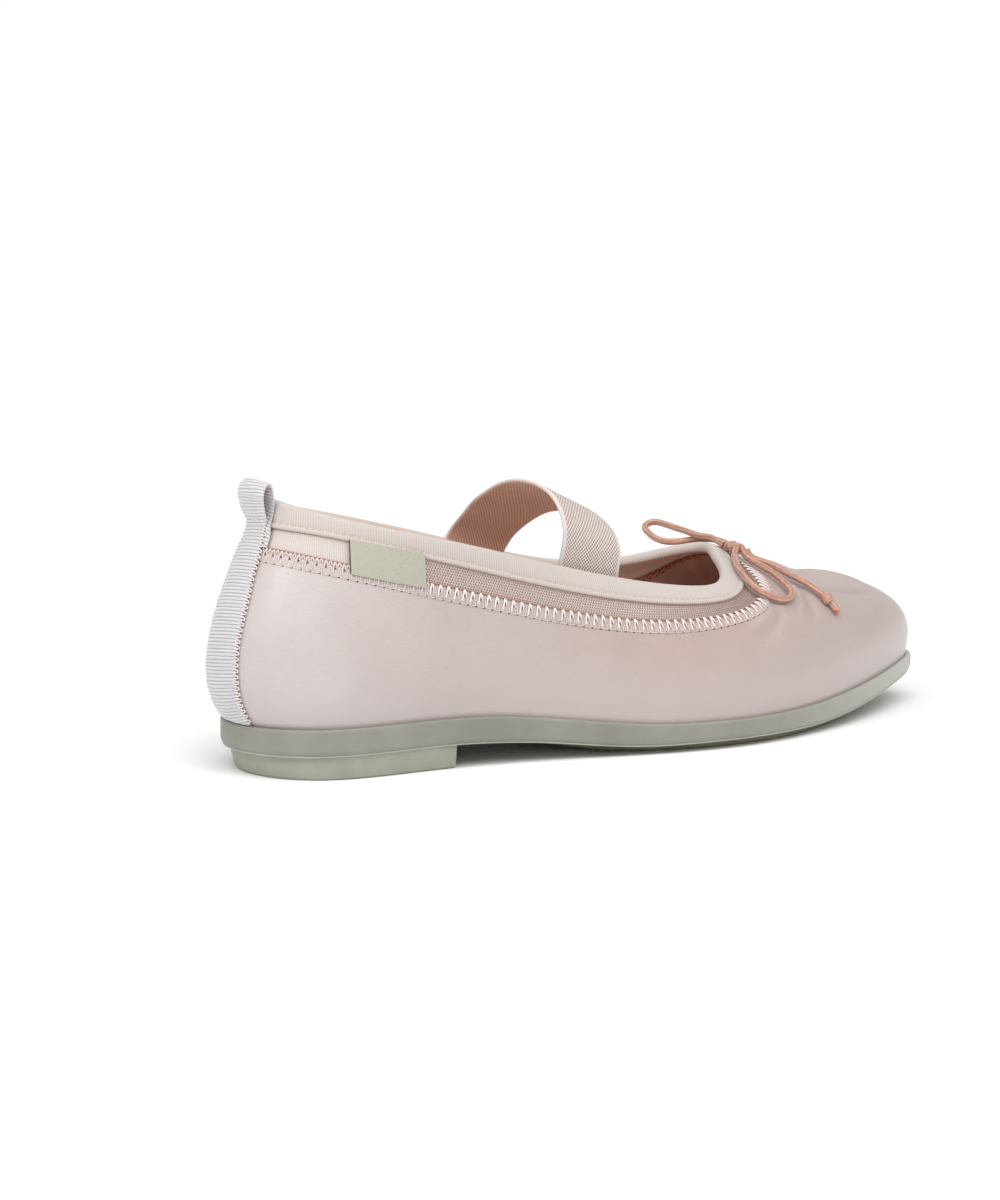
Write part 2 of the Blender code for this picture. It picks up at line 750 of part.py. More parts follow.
def place_at_origin(collection, free):
    """Shift every piece so that the box around all but the free ones stands on the origin."""
    bpy.context.view_layer.update()
    corners = [corner for piece in collection.objects if piece.name not in free
               for corner in piece.bound_box]
    low = np.min(corners, axis=0)
    high = np.max(corners, axis=0)
    shift = Matrix.Translation((-(low[0] + high[0]) / 2, -(low[1] + high[1]) / 2, -low[2]))
    for piece in collection.objects:
        piece.data.transform(shift)


def main():
    """Build every piece of the shoe."""
    for item in list(bpy.data.objects):
        bpy.data.objects.remove(item, do_unlink=True)
    shoe = bpy.data.collections.new("mary_jane")
    bpy.context.scene.collection.children.link(shoe)
    rubber = make_material("sage_rubber", (0.34, 0.36, 0.30), 0.55)
    satin = make_material("pink_satin", (0.68, 0.56, 0.54), 0.35)
    knit = make_material("knit_tape", (0.78, 0.71, 0.68), 0.85)
    elastic = make_material("ribbed_elastic", (0.64, 0.54, 0.49), 0.85)
    grosgrain = make_material("grosgrain", (0.74, 0.70, 0.72), 0.6)
    cord = make_material("satin_cord", (0.62, 0.35, 0.26), 0.5)
    lining = make_material("foam_lining", (0.45, 0.33, 0.29), 0.9)
    build_outsole(rubber, shoe)
    build_heel(rubber, shoe)
    build_tread(rubber, shoe)
    build_insole(lining, shoe)
    build_upper(satin, shoe)
    build_binding(knit, shoe)
    build_strap(elastic, shoe)
    build_ribbon(grosgrain, shoe)
    build_knot(cord, shoe)
    build_cord("bow_loop_lateral", [skin(*row) for row in LATERAL_LOOP], cord, shoe)
    build_cord("bow_loop_medial", [np.array(row) for row in MEDIAL_LOOP], cord, shoe)
    build_cord("bow_end_lateral", [skin(*row) for row in LATERAL_END], cord, shoe)
    build_cord("bow_end_medial", [skin(*row) for row in MEDIAL_END], cord, shoe)
    place_at_origin(shoe, BOW_PIECES)


if __name__ == "__main__":
    main()
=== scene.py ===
"""A woman's mary jane in the ballet style, right shoe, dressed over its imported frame.

The shoe's own sizes are in millimetres.  A place on it is given by its turn, in degrees around the
foot (0 back of the heel, 90 lateral, 180 tip of the toe, 270 medial), its drop down the wall from
the topline and its lift out from the outer skin.  Last turns such places into the frame's metres.
"""
import logging
import math
from collections.abc import Callable, Sequence
from dataclasses import dataclass
from enum import Enum

import bpy
import numpy as np
from bpy.types import ID, Material, Node, NodeSocket, Object
from mathutils import Matrix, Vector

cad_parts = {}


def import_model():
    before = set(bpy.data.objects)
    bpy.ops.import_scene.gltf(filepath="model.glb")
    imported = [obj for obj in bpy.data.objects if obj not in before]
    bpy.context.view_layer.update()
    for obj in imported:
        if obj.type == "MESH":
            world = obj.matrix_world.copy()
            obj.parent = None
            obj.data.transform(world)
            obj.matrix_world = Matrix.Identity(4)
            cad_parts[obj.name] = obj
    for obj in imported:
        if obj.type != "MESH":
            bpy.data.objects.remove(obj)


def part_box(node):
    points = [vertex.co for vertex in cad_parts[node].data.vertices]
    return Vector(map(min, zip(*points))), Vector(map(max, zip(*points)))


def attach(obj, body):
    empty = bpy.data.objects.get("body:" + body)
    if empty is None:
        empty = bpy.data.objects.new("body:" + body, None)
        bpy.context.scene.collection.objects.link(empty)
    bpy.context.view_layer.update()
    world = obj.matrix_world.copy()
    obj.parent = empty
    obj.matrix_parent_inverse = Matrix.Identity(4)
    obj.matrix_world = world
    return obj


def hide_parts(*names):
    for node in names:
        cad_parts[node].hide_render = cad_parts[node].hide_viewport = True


Array = np.ndarray
Curve = Callable[[Array], Array]

LOG = logging.getLogger("mary_jane")
MM = 0.001
FULL = 360.0

# ---- driving sizes, the same as the solids' ----------------------------------------------------
LENGTH = 250.0
BALL_WIDTH = 79.4
HEEL_HEIGHT = 7.3
COLLAR_HEIGHT = 81.5
INSTEP_HEIGHT = 53.2

# Half widths of the outsole and the run of the topline, every 15 degrees of turn.  Half widths
# are in hundredths of BALL_WIDTH, x in hundredths of LENGTH and z in hundredths of the way up
# from INSTEP_HEIGHT to COLLAR_HEIGHT.
#   turn  sole_lat  sole_med  top_x_lat  top_x_med  top_lat  top_med  top_z_lat  top_z_med
STATIONS = (
    (0,      0.0,      0.0,       5.3,       5.3,      0.0,     0.0,     100.0,     100.0),
    (15,    18.4,     18.4,       6.0,       6.0,     11.6,    11.6,      97.2,      97.2),
    (30,    32.2,     32.0,       8.8,       8.8,     23.9,    23.4,      89.4,      88.7),
    (45,    36.4,     34.8,      15.2,      15.2,     33.0,    31.7,      74.6,      73.5),
    (60,    35.9,     31.5,      24.8,      24.8,     36.4,    34.8,      53.4,      52.3),
    (75,    40.8,     29.0,      35.2,      35.2,     36.9,    35.8,      28.6,      27.6),
    (90,    49.6,     32.2,      46.0,      45.2,     35.6,    35.8,       3.9,       4.2),
    (105,   52.1,     41.6,      54.8,      53.6,     33.6,    35.3,     -12.0,      -9.2),
    (120,   42.8,     48.6,      60.8,      60.8,     29.3,    34.0,     -18.4,     -10.6),
    (135,   28.2,     47.6,      64.0,      66.2,     22.4,    31.7,     -16.3,      -4.9),
    (150,   12.3,     41.1,      66.3,      69.6,     12.6,    27.2,     -12.0,       0.0),
    (165,   -1.3,     29.5,      68.2,      70.6,      1.3,    19.9,      -6.4,       2.8),
    (180,  -14.1,     14.1,      69.7,      69.7,    -10.1,    10.1,       0.0,       0.0),
)

# The wall where it leaves the sole and where it comes up to the topline: its lean from upright
# and the reach of its curve, lateral then medial.
#   turn  foot_lean  foot_reach  top_lean  top_reach  foot_lean  foot_reach  top_lean  top_reach
WALLS = (
    (0,     45.0,      23.4,      12.7,     10.2,      45.0,      23.4,      12.7,     10.2),
    (15,    42.2,      22.5,      12.5,     12.2,      42.2,      22.5,      12.5,     12.2),
    (30,    31.3,      18.7,      11.6,     20.0,      31.3,      18.7,      11.6,     20.0),
    (60,    18.0,      17.0,       6.0,     18.0,      24.0,      18.0,       2.0,     18.0),
    (90,    12.0,      13.0,      30.0,     15.0,      26.0,      16.0,      14.0,     16.0),
    (120,   16.0,      15.0,      58.0,     20.0,      18.0,      17.0,      50.0,     18.0),
    (150,   19.0,      23.6,      68.0,     22.0,      30.0,      19.0,      77.0,     46.0),
    (180,   17.5,      31.0,      66.0,     22.5,      17.5,      31.0,      66.0,     22.5),
)

# Drop of the binding's lower edge and of the satin's edge, the same on both sides.
#   turn  binding  satin
EDGES = (
    (0,      8.4,    15.2),
    (15,     7.8,    14.6),
    (30,     6.7,    14.1),
    (60,     7.2,    14.5),
    (75,     7.8,    14.6),
    (90,     8.0,    14.6),
    (120,    8.2,    14.1),
    (135,    8.0,    14.2),
    (150,    7.4,    12.3),
    (165,    6.9,     9.7),
    (180,    6.7,     9.2),
)

# Heights of the outsole's underside and rim along its length, with x in hundredths of LENGTH.
#   x        underside     rim
SOLE_RISE = (
    (0.0,     HEEL_HEIGHT,  HEEL_HEIGHT + 8.2),
    (16.0,    HEEL_HEIGHT,  HEEL_HEIGHT + 8.2),
    (24.8,    HEEL_HEIGHT,  HEEL_HEIGHT + 8.1),
    (30.4,    6.8,          14.9),
    (36.8,    5.6,          13.2),
    (44.0,    3.6,          11.0),
    (50.4,    2.6,          9.4),
    (56.8,    2.6,          8.9),
    (64.0,    2.6,          8.7),
    (70.4,    2.6,          8.9),
    (76.8,    3.1,          9.7),
    (83.2,    4.8,          11.2),
    (90.0,    7.2,          13.0),
    (96.0,    9.1,          14.4),
    (100.0,   10.0,         15.0),
)

# Elastic strap above the collar, from the lateral to the medial side: its rear and front edges.
#   rear_x   rear_y   rear_z   front_x  front_y  front_z
STRAP_ARCH = (
    (97.6,   -28.0,    65.6,   118.8,   -26.6,    60.4),
    (97.4,   -28.6,    70.6,   118.6,   -25.6,    64.2),
    (97.0,   -26.4,    76.0,   118.0,   -22.4,    67.6),
    (96.5,   -21.2,    80.1,   117.6,   -17.0,    70.0),
    (95.0,   -13.4,    82.4,   117.4,    -9.6,    71.8),
    (93.4,    -4.6,    82.1,   116.6,    -2.4,    72.2),
    (91.9,     4.8,    79.0,   115.4,     4.5,    70.4),
    (90.5,    10.5,    75.6,   113.6,     9.5,    69.0),
    (90.0,    14.5,    73.0,   111.2,    14.0,    66.1),
    (89.2,    18.0,    69.5,   109.6,    18.0,    63.0),
    (87.7,    24.0,    63.4,   108.6,    24.0,    57.4),
)

# Pull loop and back seam ribbon, from its sewn foot up and over the loop: drop down the wall,
# lift of its middle and width.  A drop over HEEL_FOOT counts down to the foot of the wall.
#   drop    lift   width
RIBBON_RUN = (
    (28.0,    1.20,   15.8),
    (22.0,    1.30,   14.1),
    (17.0,    1.40,   13.2),
    (13.9,    1.35,   11.9),
    (11.2,    1.40,   11.2),
    (9.2,     1.65,   10.8),
    (8.0,     2.00,   11.2),
    (7.0,     2.75,   12.2),
    (5.8,     4.10,   12.8),
    (4.0,     5.40,   12.6),
    (1.6,     6.60,   12.4),
    (-1.4,    7.00,   12.2),
    (-3.6,    6.30,   12.2),
    (-4.3,    5.10,   12.2),
    (-3.4,    3.95,   12.2),
    (-0.9,    2.75,   12.2),
    (2.7,     1.75,   12.4),
    (5.6,     1.20,   12.6),
    (7.8,     1.10,   13.2),
    (10.0,    0.65,   14.4),
    (12.4,    0.35,   15.2),
    (14.4,    0.30,   15.6),
)

# Routes of the bow's cord over the vamp.
#   turn    drop   lift
LATERAL_LOOP = (
    (170.5,   6.3,   2.5),
    (160.5,   5.1,   2.2),
    (152.1,   4.9,   2.1),
    (145.0,   5.9,   2.1),
    (139.0,   7.6,   2.1),
    (134.8,  10.0,   2.0),
    (132.9,  12.6,   1.8),
    (132.6,  16.0,   1.7),
    (133.2,  19.4,   1.6),
    (134.8,  21.8,   1.7),
    (138.0,  23.1,   1.7),
    (141.9,  23.1,   1.8),
    (145.5,  21.4,   1.9),
    (150.7,  19.2,   2.0),
    (156.7,  16.6,   2.0),
    (162.6,  13.3,   2.1),
    (167.0,  10.7,   2.4),
)
LATERAL_END = (
    (172.4,  13.4,   2.0),
    (168.5,  16.4,   1.8),
    (163.0,  21.0,   1.7),
    (157.9,  24.9,   1.6),
    (153.9,  29.0,   1.6),
    (149.4,  33.4,   1.6),
    (146.4,  36.9,   1.6),
    (142.9,  40.2,   1.6),
)
MEDIAL_END = (
    (190.0,  14.0,   2.0),
    (195.0,  17.4,   1.7),
    (200.0,  21.0,   1.6),
    (205.0,  25.4,   1.6),
    (209.6,  30.6,   1.6),
    (213.6,  36.0,   1.6),
    (216.0,  40.0,   1.6),
)
# Route of the loop that stands up over the medial topline.
#   x       y      z
MEDIAL_LOOP = (
    (179.0,  16.6,  55.6),
    (177.4,  21.6,  55.8),
    (176.8,  27.0,  56.4),
    (176.0,  33.0,  57.0),
    (174.6,  38.4,  57.8),
    (172.4,  41.6,  58.0),
    (169.8,  41.2,  57.1),
    (168.4,  37.6,  55.6),
    (168.4,  33.6,  54.3),
    (170.6,  30.4,  53.3),
    (174.0,  28.4,  53.3),
    (178.0,  25.2,  54.0),
    (181.0,  20.6,  54.6),
)
# The knot, and where each cord leaves it, measured from its middle.
#   x       y      z
KNOT_PLACE = (180.0, 7.1, 2.8)
KNOT_EXITS = {
    "bow_loop_lateral": ((-1.3, -3.6, 0.3), (1.0, -3.6, 0.1)),
    "bow_loop_medial": ((-1.3, 3.6, 0.4), (1.0, 3.6, 0.2)),
    "bow_end_lateral": ((3.2, -2.6, -0.6),),
    "bow_end_medial": ((2.7, 3.0, -0.9),),
}

# Folds that the gathered throat throws over the satin, each a soft trough or ridge: two places
# it runs between, half width and height (below zero for a trough), in the shoe's millimetres.
#   turn    drop    turn    drop   half_width  height
FOLDS = (
    (192.0,  39.0,  150.0,  24.0,   5.6,       -1.35),
    (128.5,  18.8,  112.0,  22.0,   1.5,        0.90),
    (129.5,  22.4,  113.5,  27.0,   1.9,       -0.90),
    (136.0,  23.2,  127.0,  18.8,   1.1,        0.55),
    (149.5,  24.8,  130.0,  30.0,   1.7,        1.50),
    (155.0,  26.4,  130.0,  36.0,   1.7,       -1.60),
    (158.0,  33.0,  138.0,  46.0,   2.6,        0.50),
    (157.0,  37.5,  169.0,  63.0,   1.6,       -1.30),
    (176.0,  37.0,  170.5,  66.0,   2.6,        1.10),
    (168.5,  29.0,  166.0,  50.0,   1.4,       -0.60),
    (186.0,  40.0,  188.0,  64.0,   2.8,        0.40),
    (199.0,  22.0,  197.0,  60.0,   2.5,       -0.60),
    (206.0,  17.0,  208.0,  52.0,   2.6,        0.70),
    (214.0,  18.0,  222.0,  46.0,   2.3,       -1.00),
    (222.0,  18.5,  231.0,  40.0,   2.2,        0.60),
    (229.5,  18.5,  234.0,  32.0,   1.8,       -0.55),
    (236.0,  19.0,  240.0,  30.0,   1.6,        0.40),
)


# ---- curves ------------------------------------------------------------------------------------

def unit(vectors: Array) -> Array:
    """Return a vector, or each row of an array, scaled to length one."""
    return vectors / np.linalg.norm(vectors, axis=-1, keepdims=True)


def spline(knots: Sequence[float], values: Sequence) -> Curve:
    """Fit a natural cubic through values at rising knots.

    Args:
        knots: rising places along the curve.
        values: a number or a row of numbers for each knot.

    Returns:
        A function of one place or an array of them.
    """
    knots = np.asarray(knots, float)
    values = np.asarray(values, float)
    count = len(knots)
    step = np.diff(knots)
    wide = step.reshape((-1,) + (1,) * (values.ndim - 1))
    slope = np.diff(values, axis=0) / wide
    matrix = np.zeros((count, count))
    right = np.zeros_like(values)
    matrix[0, 0] = matrix[-1, -1] = 1.0
    for row in range(1, count - 1):
        matrix[row, row - 1:row + 2] = (step[row - 1], 2 * (step[row - 1] + step[row]), step[row])
        right[row] = 6 * (slope[row] - slope[row - 1])
    bend = np.linalg.solve(matrix, right)

    def curve(at: Array) -> Array:
        """Read the curve.

        Args:
            at: one place or an array of them.

        Returns:
            The values there.
        """
        at = np.asarray(at, float)
        row = np.clip(np.searchsorted(knots, at) - 1, 0, count - 2)
        shape = row.shape + (1,) * (values.ndim - 1)
        span = step[row].reshape(shape)
        ahead = (at - knots[row]).reshape(shape) / span
        behind = 1.0 - ahead
        cubic = (behind ** 3 - behind) * bend[row] + (ahead ** 3 - ahead) * bend[row + 1]
        return behind * values[row] + ahead * values[row + 1] + cubic * span * span / 6.0

    return curve


def around(rows: Sequence, lateral: int, medial: int, scale: float = 1.0, flip: float = 1.0,
           start: float = 0.0) -> Curve:
    """Make a smooth closed function of turn from two columns of a table.

    Args:
        rows: the table, from the back of the heel to the toe.
        lateral: the column for the lateral side.
        medial: the column for the medial side.
        scale: what both columns are multiplied by.
        flip: -1 for a half width, whose lateral side is negative.
        start: what is added to both columns.

    Returns:
        A function of the turn, or of an array of turns.
    """
    turns = [row[0] for row in rows]
    near = [start + flip * scale * row[lateral] for row in rows]
    far = [start + scale * row[medial] for row in rows]
    knots = turns + [FULL - turn for turn in turns[-2:0:-1]]
    values = near + far[-2:0:-1]
    laps = [turn + lap for lap in (-FULL, 0.0, FULL) for turn in knots]
    curve = spline(laps, values * 3)
    return lambda turn: curve(np.asarray(turn, float) % FULL)


def along_points(points: Array) -> Array:
    """Return the distance of each point along the line through them."""
    steps = np.linalg.norm(np.diff(points, axis=0), axis=1)
    return np.concatenate(((0.0,), np.cumsum(steps)))


def smooth_line(points: Sequence, spacing: float) -> Array:
    """Draw a smooth curve through points.

    Args:
        points: the points that it passes through.
        spacing: the distance between the places on it.

    Returns:
        Evenly spaced places on the curve.
    """
    points = np.asarray(points, float)
    lengths = along_points(points)
    curve = spline(lengths, points)
    fine = curve(np.linspace(0.0, lengths[-1], 12 * len(points)))
    travelled = along_points(fine)
    count = max(3, round(travelled[-1] / spacing))
    wanted = np.linspace(0.0, travelled[-1], count + 1)
    return np.stack([np.interp(wanted, travelled, fine[:, axis]) for axis in range(3)], axis=1)


def pairs(first: Array, second: Array) -> Array:
    """Return two measures of the same places side by side, as UV is kept."""
    return np.stack(np.broadcast_arrays(first, second), axis=-1)


def frame_along(along: Array) -> Array:
    """Make three square directions.

    Args:
        along: the first direction.

    Returns:
        The three directions as columns, the third one upwards.
    """
    ahead = unit(np.asarray(along, float))
    across = unit(np.cross((0.0, 0.0, 1.0), ahead))
    return np.column_stack((ahead, across, np.cross(ahead, across)))


def placing(axes: Array, place: Sequence[float]) -> Matrix:
    """Return the matrix that gives a thing its axes, the columns of an array, and its origin."""
    return Matrix.Translation(tuple(place)) @ Matrix(axes.tolist()).to_4x4()


def ease(value: Array) -> Array:
    """Return 0 below 0, 1 above 1 and a smooth step between them."""
    value = np.clip(value, 0.0, 1.0)
    return value * value * (3.0 - 2.0 * value)


# ---- the last ----------------------------------------------------------------------------------

@dataclass
class Last:
    """The foot shape that the shoe is built on, in the shoe's own millimetres."""

    shift: Array
    rim: float = 1.8
    gap: float = 0.3
    wall: float = 1.6
    band_step: float = 0.6
    floor: float = 3.4
    degrees: float = 0.5
    rows: int = 160

    def __post_init__(self) -> None:
        """Read the tables into smooth functions of the turn, and survey the upper's skin."""
        self.side = around(STATIONS, 1, 2, BALL_WIDTH / 100, flip=-1.0)
        self.top_x = around(STATIONS, 3, 4, LENGTH / 100)
        self.top_y = around(STATIONS, 5, 6, BALL_WIDTH / 100, flip=-1.0)
        self.top_z = around(STATIONS, 7, 8, (COLLAR_HEIGHT - INSTEP_HEIGHT) / 100,
                            start=INSTEP_HEIGHT)
        self.foot_lean = around(WALLS, 1, 5)
        self.foot_reach = around(WALLS, 2, 6)
        self.top_lean = around(WALLS, 3, 7)
        self.top_reach = around(WALLS, 4, 8)
        self.binding_drop = around(EDGES, 1, 1)
        self.satin_drop = around(EDGES, 2, 2)
        places = [LENGTH / 100 * row[0] for row in SOLE_RISE]
        self.underside = spline(places, [row[1] for row in SOLE_RISE])
        self.rim_height = spline(places, [row[2] for row in SOLE_RISE])
        shares = np.linspace(0.0, 1.0, self.rows + 1)
        lines = [self._wall(turn) for turn in np.arange(0.0, FULL, self.degrees)]
        self._lengths = np.array([along_points(line)[-1] for line in lines])
        self._grid = np.array([[np.interp(shares, along_points(line) / length, line[:, axis])
                                for axis in range(3)]
                               for line, length in zip(lines, self._lengths)]).swapaxes(1, 2)
        reach = round(1.0 / self.degrees)
        ahead = np.roll(self._grid, -reach, axis=0) - np.roll(self._grid, reach, axis=0)
        self._down = unit(np.gradient(self._grid, axis=1))
        self._out = unit(np.cross(self._down, ahead))

    @classmethod
    def from_outsole(cls, node: str = "outsole", turns: int = 72) -> "Last":
        """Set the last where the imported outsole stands.

        Args:
            node: the outsole's node.
            turns: the number of sections of its solid.

        Returns:
            The last, shifted to that outsole.
        """
        last = cls(np.zeros(3))
        low = np.array(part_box(node)[0]) / MM
        narrow = float(np.min(last.side(np.arange(turns) * FULL / turns)))
        last.shift = np.array((low[0], low[1] - narrow, 0.0))
        return last

    def world(self, points: Array) -> Array:
        """Return places on the shoe in the frame's metres."""
        return MM * (np.asarray(points, float) + self.shift)

    def edge(self, turns: Array) -> Array:
        """Return the outsole's outline in plan at turns."""
        forward = LENGTH / 2 * (1.0 - np.cos(np.radians(turns)))
        return np.stack((forward, self.side(turns)), axis=-1)

    def outward(self, turns: Array) -> Array:
        """Return the outward direction of the outline in plan at turns."""
        along = self.edge(np.asarray(turns) + 0.5) - self.edge(np.asarray(turns) - 0.5)
        return unit(np.stack((along[..., 1], -along[..., 0]), axis=-1))

    def ring(self, turns: Array, inset: float, height: Curve) -> Array:
        """Return points inset from the outline, at a height that is a function of x."""
        plan = self.edge(turns) - inset * self.outward(turns)
        return np.concatenate((plan, height(plan[..., :1])), axis=-1)

    def floor_height(self, x: Array) -> Array:
        """Return the top of the outsole under the foot."""
        return self.underside(x) + self.floor

    def _wall(self, turn: float) -> Array:
        """Draw the upper's outer skin at one turn.

        Args:
            turn: the turn.

        Returns:
            The line from the topline down to the rim.
        """
        foot = self.ring(turn, self.rim + self.gap, self.rim_height)
        top = np.array((self.top_x(turn), self.top_y(turn), self.top_z(turn)), float)
        out = self.outward(turn)
        side = np.array((-out[1], out[0]))
        reach = top[:2] - foot[:2]
        low = math.radians(self.foot_lean(turn))
        high = math.radians(self.top_lean(turn))
        long, short = float(self.top_reach(turn)), float(self.foot_reach(turn))
        handles = np.array((
            (reach @ out, top[2]),
            (reach @ out + long * math.sin(high), top[2] - long * math.cos(high)),
            (short * math.sin(low), foot[2] + short * math.cos(low)),
            (0.0, foot[2]),
        ))
        steps = np.linspace(0.0, 1.0, 161)[:, None]
        back = 1.0 - steps
        blend = (back ** 3, 3 * back ** 2 * steps, 3 * back * steps ** 2, steps ** 3)
        shape = sum(weight * handle for weight, handle in zip(blend, handles))
        plan = foot[:2] + shape[:, :1] * out + (reach @ side) * back * side
        return np.column_stack((plan, shape[:, 1]))

    def wall_length(self, turns: Array) -> Array:
        """Return the length of the upper's wall from topline to rim at turns."""
        knots = np.arange(len(self._lengths)) * self.degrees
        return np.interp(turns, knots, self._lengths, period=FULL)

    def skin(self, turns: Array, drops: Array, lifts: Array = 0.0) -> Array:
        """Return places on the upper.

        Args:
            turns: the turn of each place, or one for all.
            drops: distance down from the topline.
            lifts: distance out from the outer skin.

        Returns:
            The places, in the shoe's millimetres.
        """
        turns, drops, lifts = np.broadcast_arrays(
            np.asarray(turns, float) % FULL, np.asarray(drops, float), np.asarray(lifts, float))
        lengths = self.wall_length(turns)
        column = turns / self.degrees
        first = np.floor(column).astype(int) % len(self._grid)
        second = (first + 1) % len(self._grid)
        ahead = (column - np.floor(column))[..., None]
        row = np.clip(drops / lengths, 0.0, 1.0) * self.rows
        upper = np.minimum(row.astype(int), self.rows - 1)
        below = (row - upper)[..., None]

        def read(survey: Array) -> Array:
            """Read a survey of vectors between its four nearest places.

            Args:
                survey: a vector for each turn and each step down the wall.

            Returns:
                A vector for each place.
            """
            top = (1.0 - ahead) * survey[first, upper] + ahead * survey[second, upper]
            foot = (1.0 - ahead) * survey[first, upper + 1] + ahead * survey[second, upper + 1]
            return (1.0 - below) * top + below * foot

        over = np.minimum(drops, 0.0) + np.maximum(drops - lengths, 0.0)
        return (read(self._grid) + over[..., None] * read(self._down)
                + lifts[..., None] * unit(read(self._out)))

    def spots(self, turns: Array, drops: Array, lifts: Array = 0.0) -> Array:
        """Return places on the upper, in metres."""
        return self.world(self.skin(turns, drops, lifts))

    def run(self, turns: Array, drops: Array) -> Array:
        """Return the distance travelled round the shoe at each turn of a line."""
        return along_points(self.skin(turns, drops))

    def march(self, drop: Curve, spacing: float) -> Array:
        """Return evenly spaced turns along a line round the topline.

        Args:
            drop: the line's drop as a function of the turn.
            spacing: the distance between places on it.

        Returns:
            The turns, from 0 to 360, with the last one closing the ring.
        """
        turns = np.linspace(0.0, FULL, 1441)
        lengths = self.run(turns, drop(turns))
        count = round(lengths[-1] / spacing)
        return np.interp(np.arange(count + 1) * lengths[-1] / count, lengths, turns)

    def turn_at(self, x: float, lateral: bool, drop: float, lift: float) -> float:
        """Return the turn at which a line round the shoe reaches x on one side.

        Args:
            x: the place along the shoe.
            lateral: True for the lateral side.
            drop: the line's drop.
            lift: its lift.

        Returns:
            The turn.
        """
        turns = np.linspace(20.0, 110.0, 181)
        turns = turns if lateral else FULL - turns
        return float(np.interp(x, self.skin(turns, drop, lift)[:, 0], turns))


@dataclass
class Folds:
    """The soft troughs and ridges in the satin."""

    last: Last
    start: float = 3.8
    fade: float = 2.0

    def __post_init__(self) -> None:
        """Lay each fold's line on the skin."""
        shares = np.linspace(0.0, 1.0, 48)
        self._lines = [
            (self.last.skin(turn + (far_turn - turn) * shares, drop + (far - drop) * shares),
             half_width, height)
            for turn, drop, far_turn, far, half_width, height in FOLDS]

    def lift(self, turns: Array, drops: Array) -> Array:
        """Measure the folds at places on the skin.

        Args:
            turns: the turn of each place.
            drops: the drop of each place.

        Returns:
            How far the satin rises there, in millimetres.
        """
        turns, drops = np.broadcast_arrays(turns, drops)
        places = self.last.skin(turns, drops)
        total = np.zeros(turns.shape)
        for line, half_width, height in self._lines:
            gaps = np.linalg.norm(places[..., None, :] - line, axis=-1)
            share = gaps.argmin(axis=-1) / (len(line) - 1)
            taper = ease(1.7 * (1.0 - share))
            total += height * taper * np.exp(-(gaps.min(axis=-1) / half_width) ** 2)
        return total * ease((drops - self.last.satin_drop(turns) - self.start) / self.fade)


# ---- workbench ---------------------------------------------------------------------------------

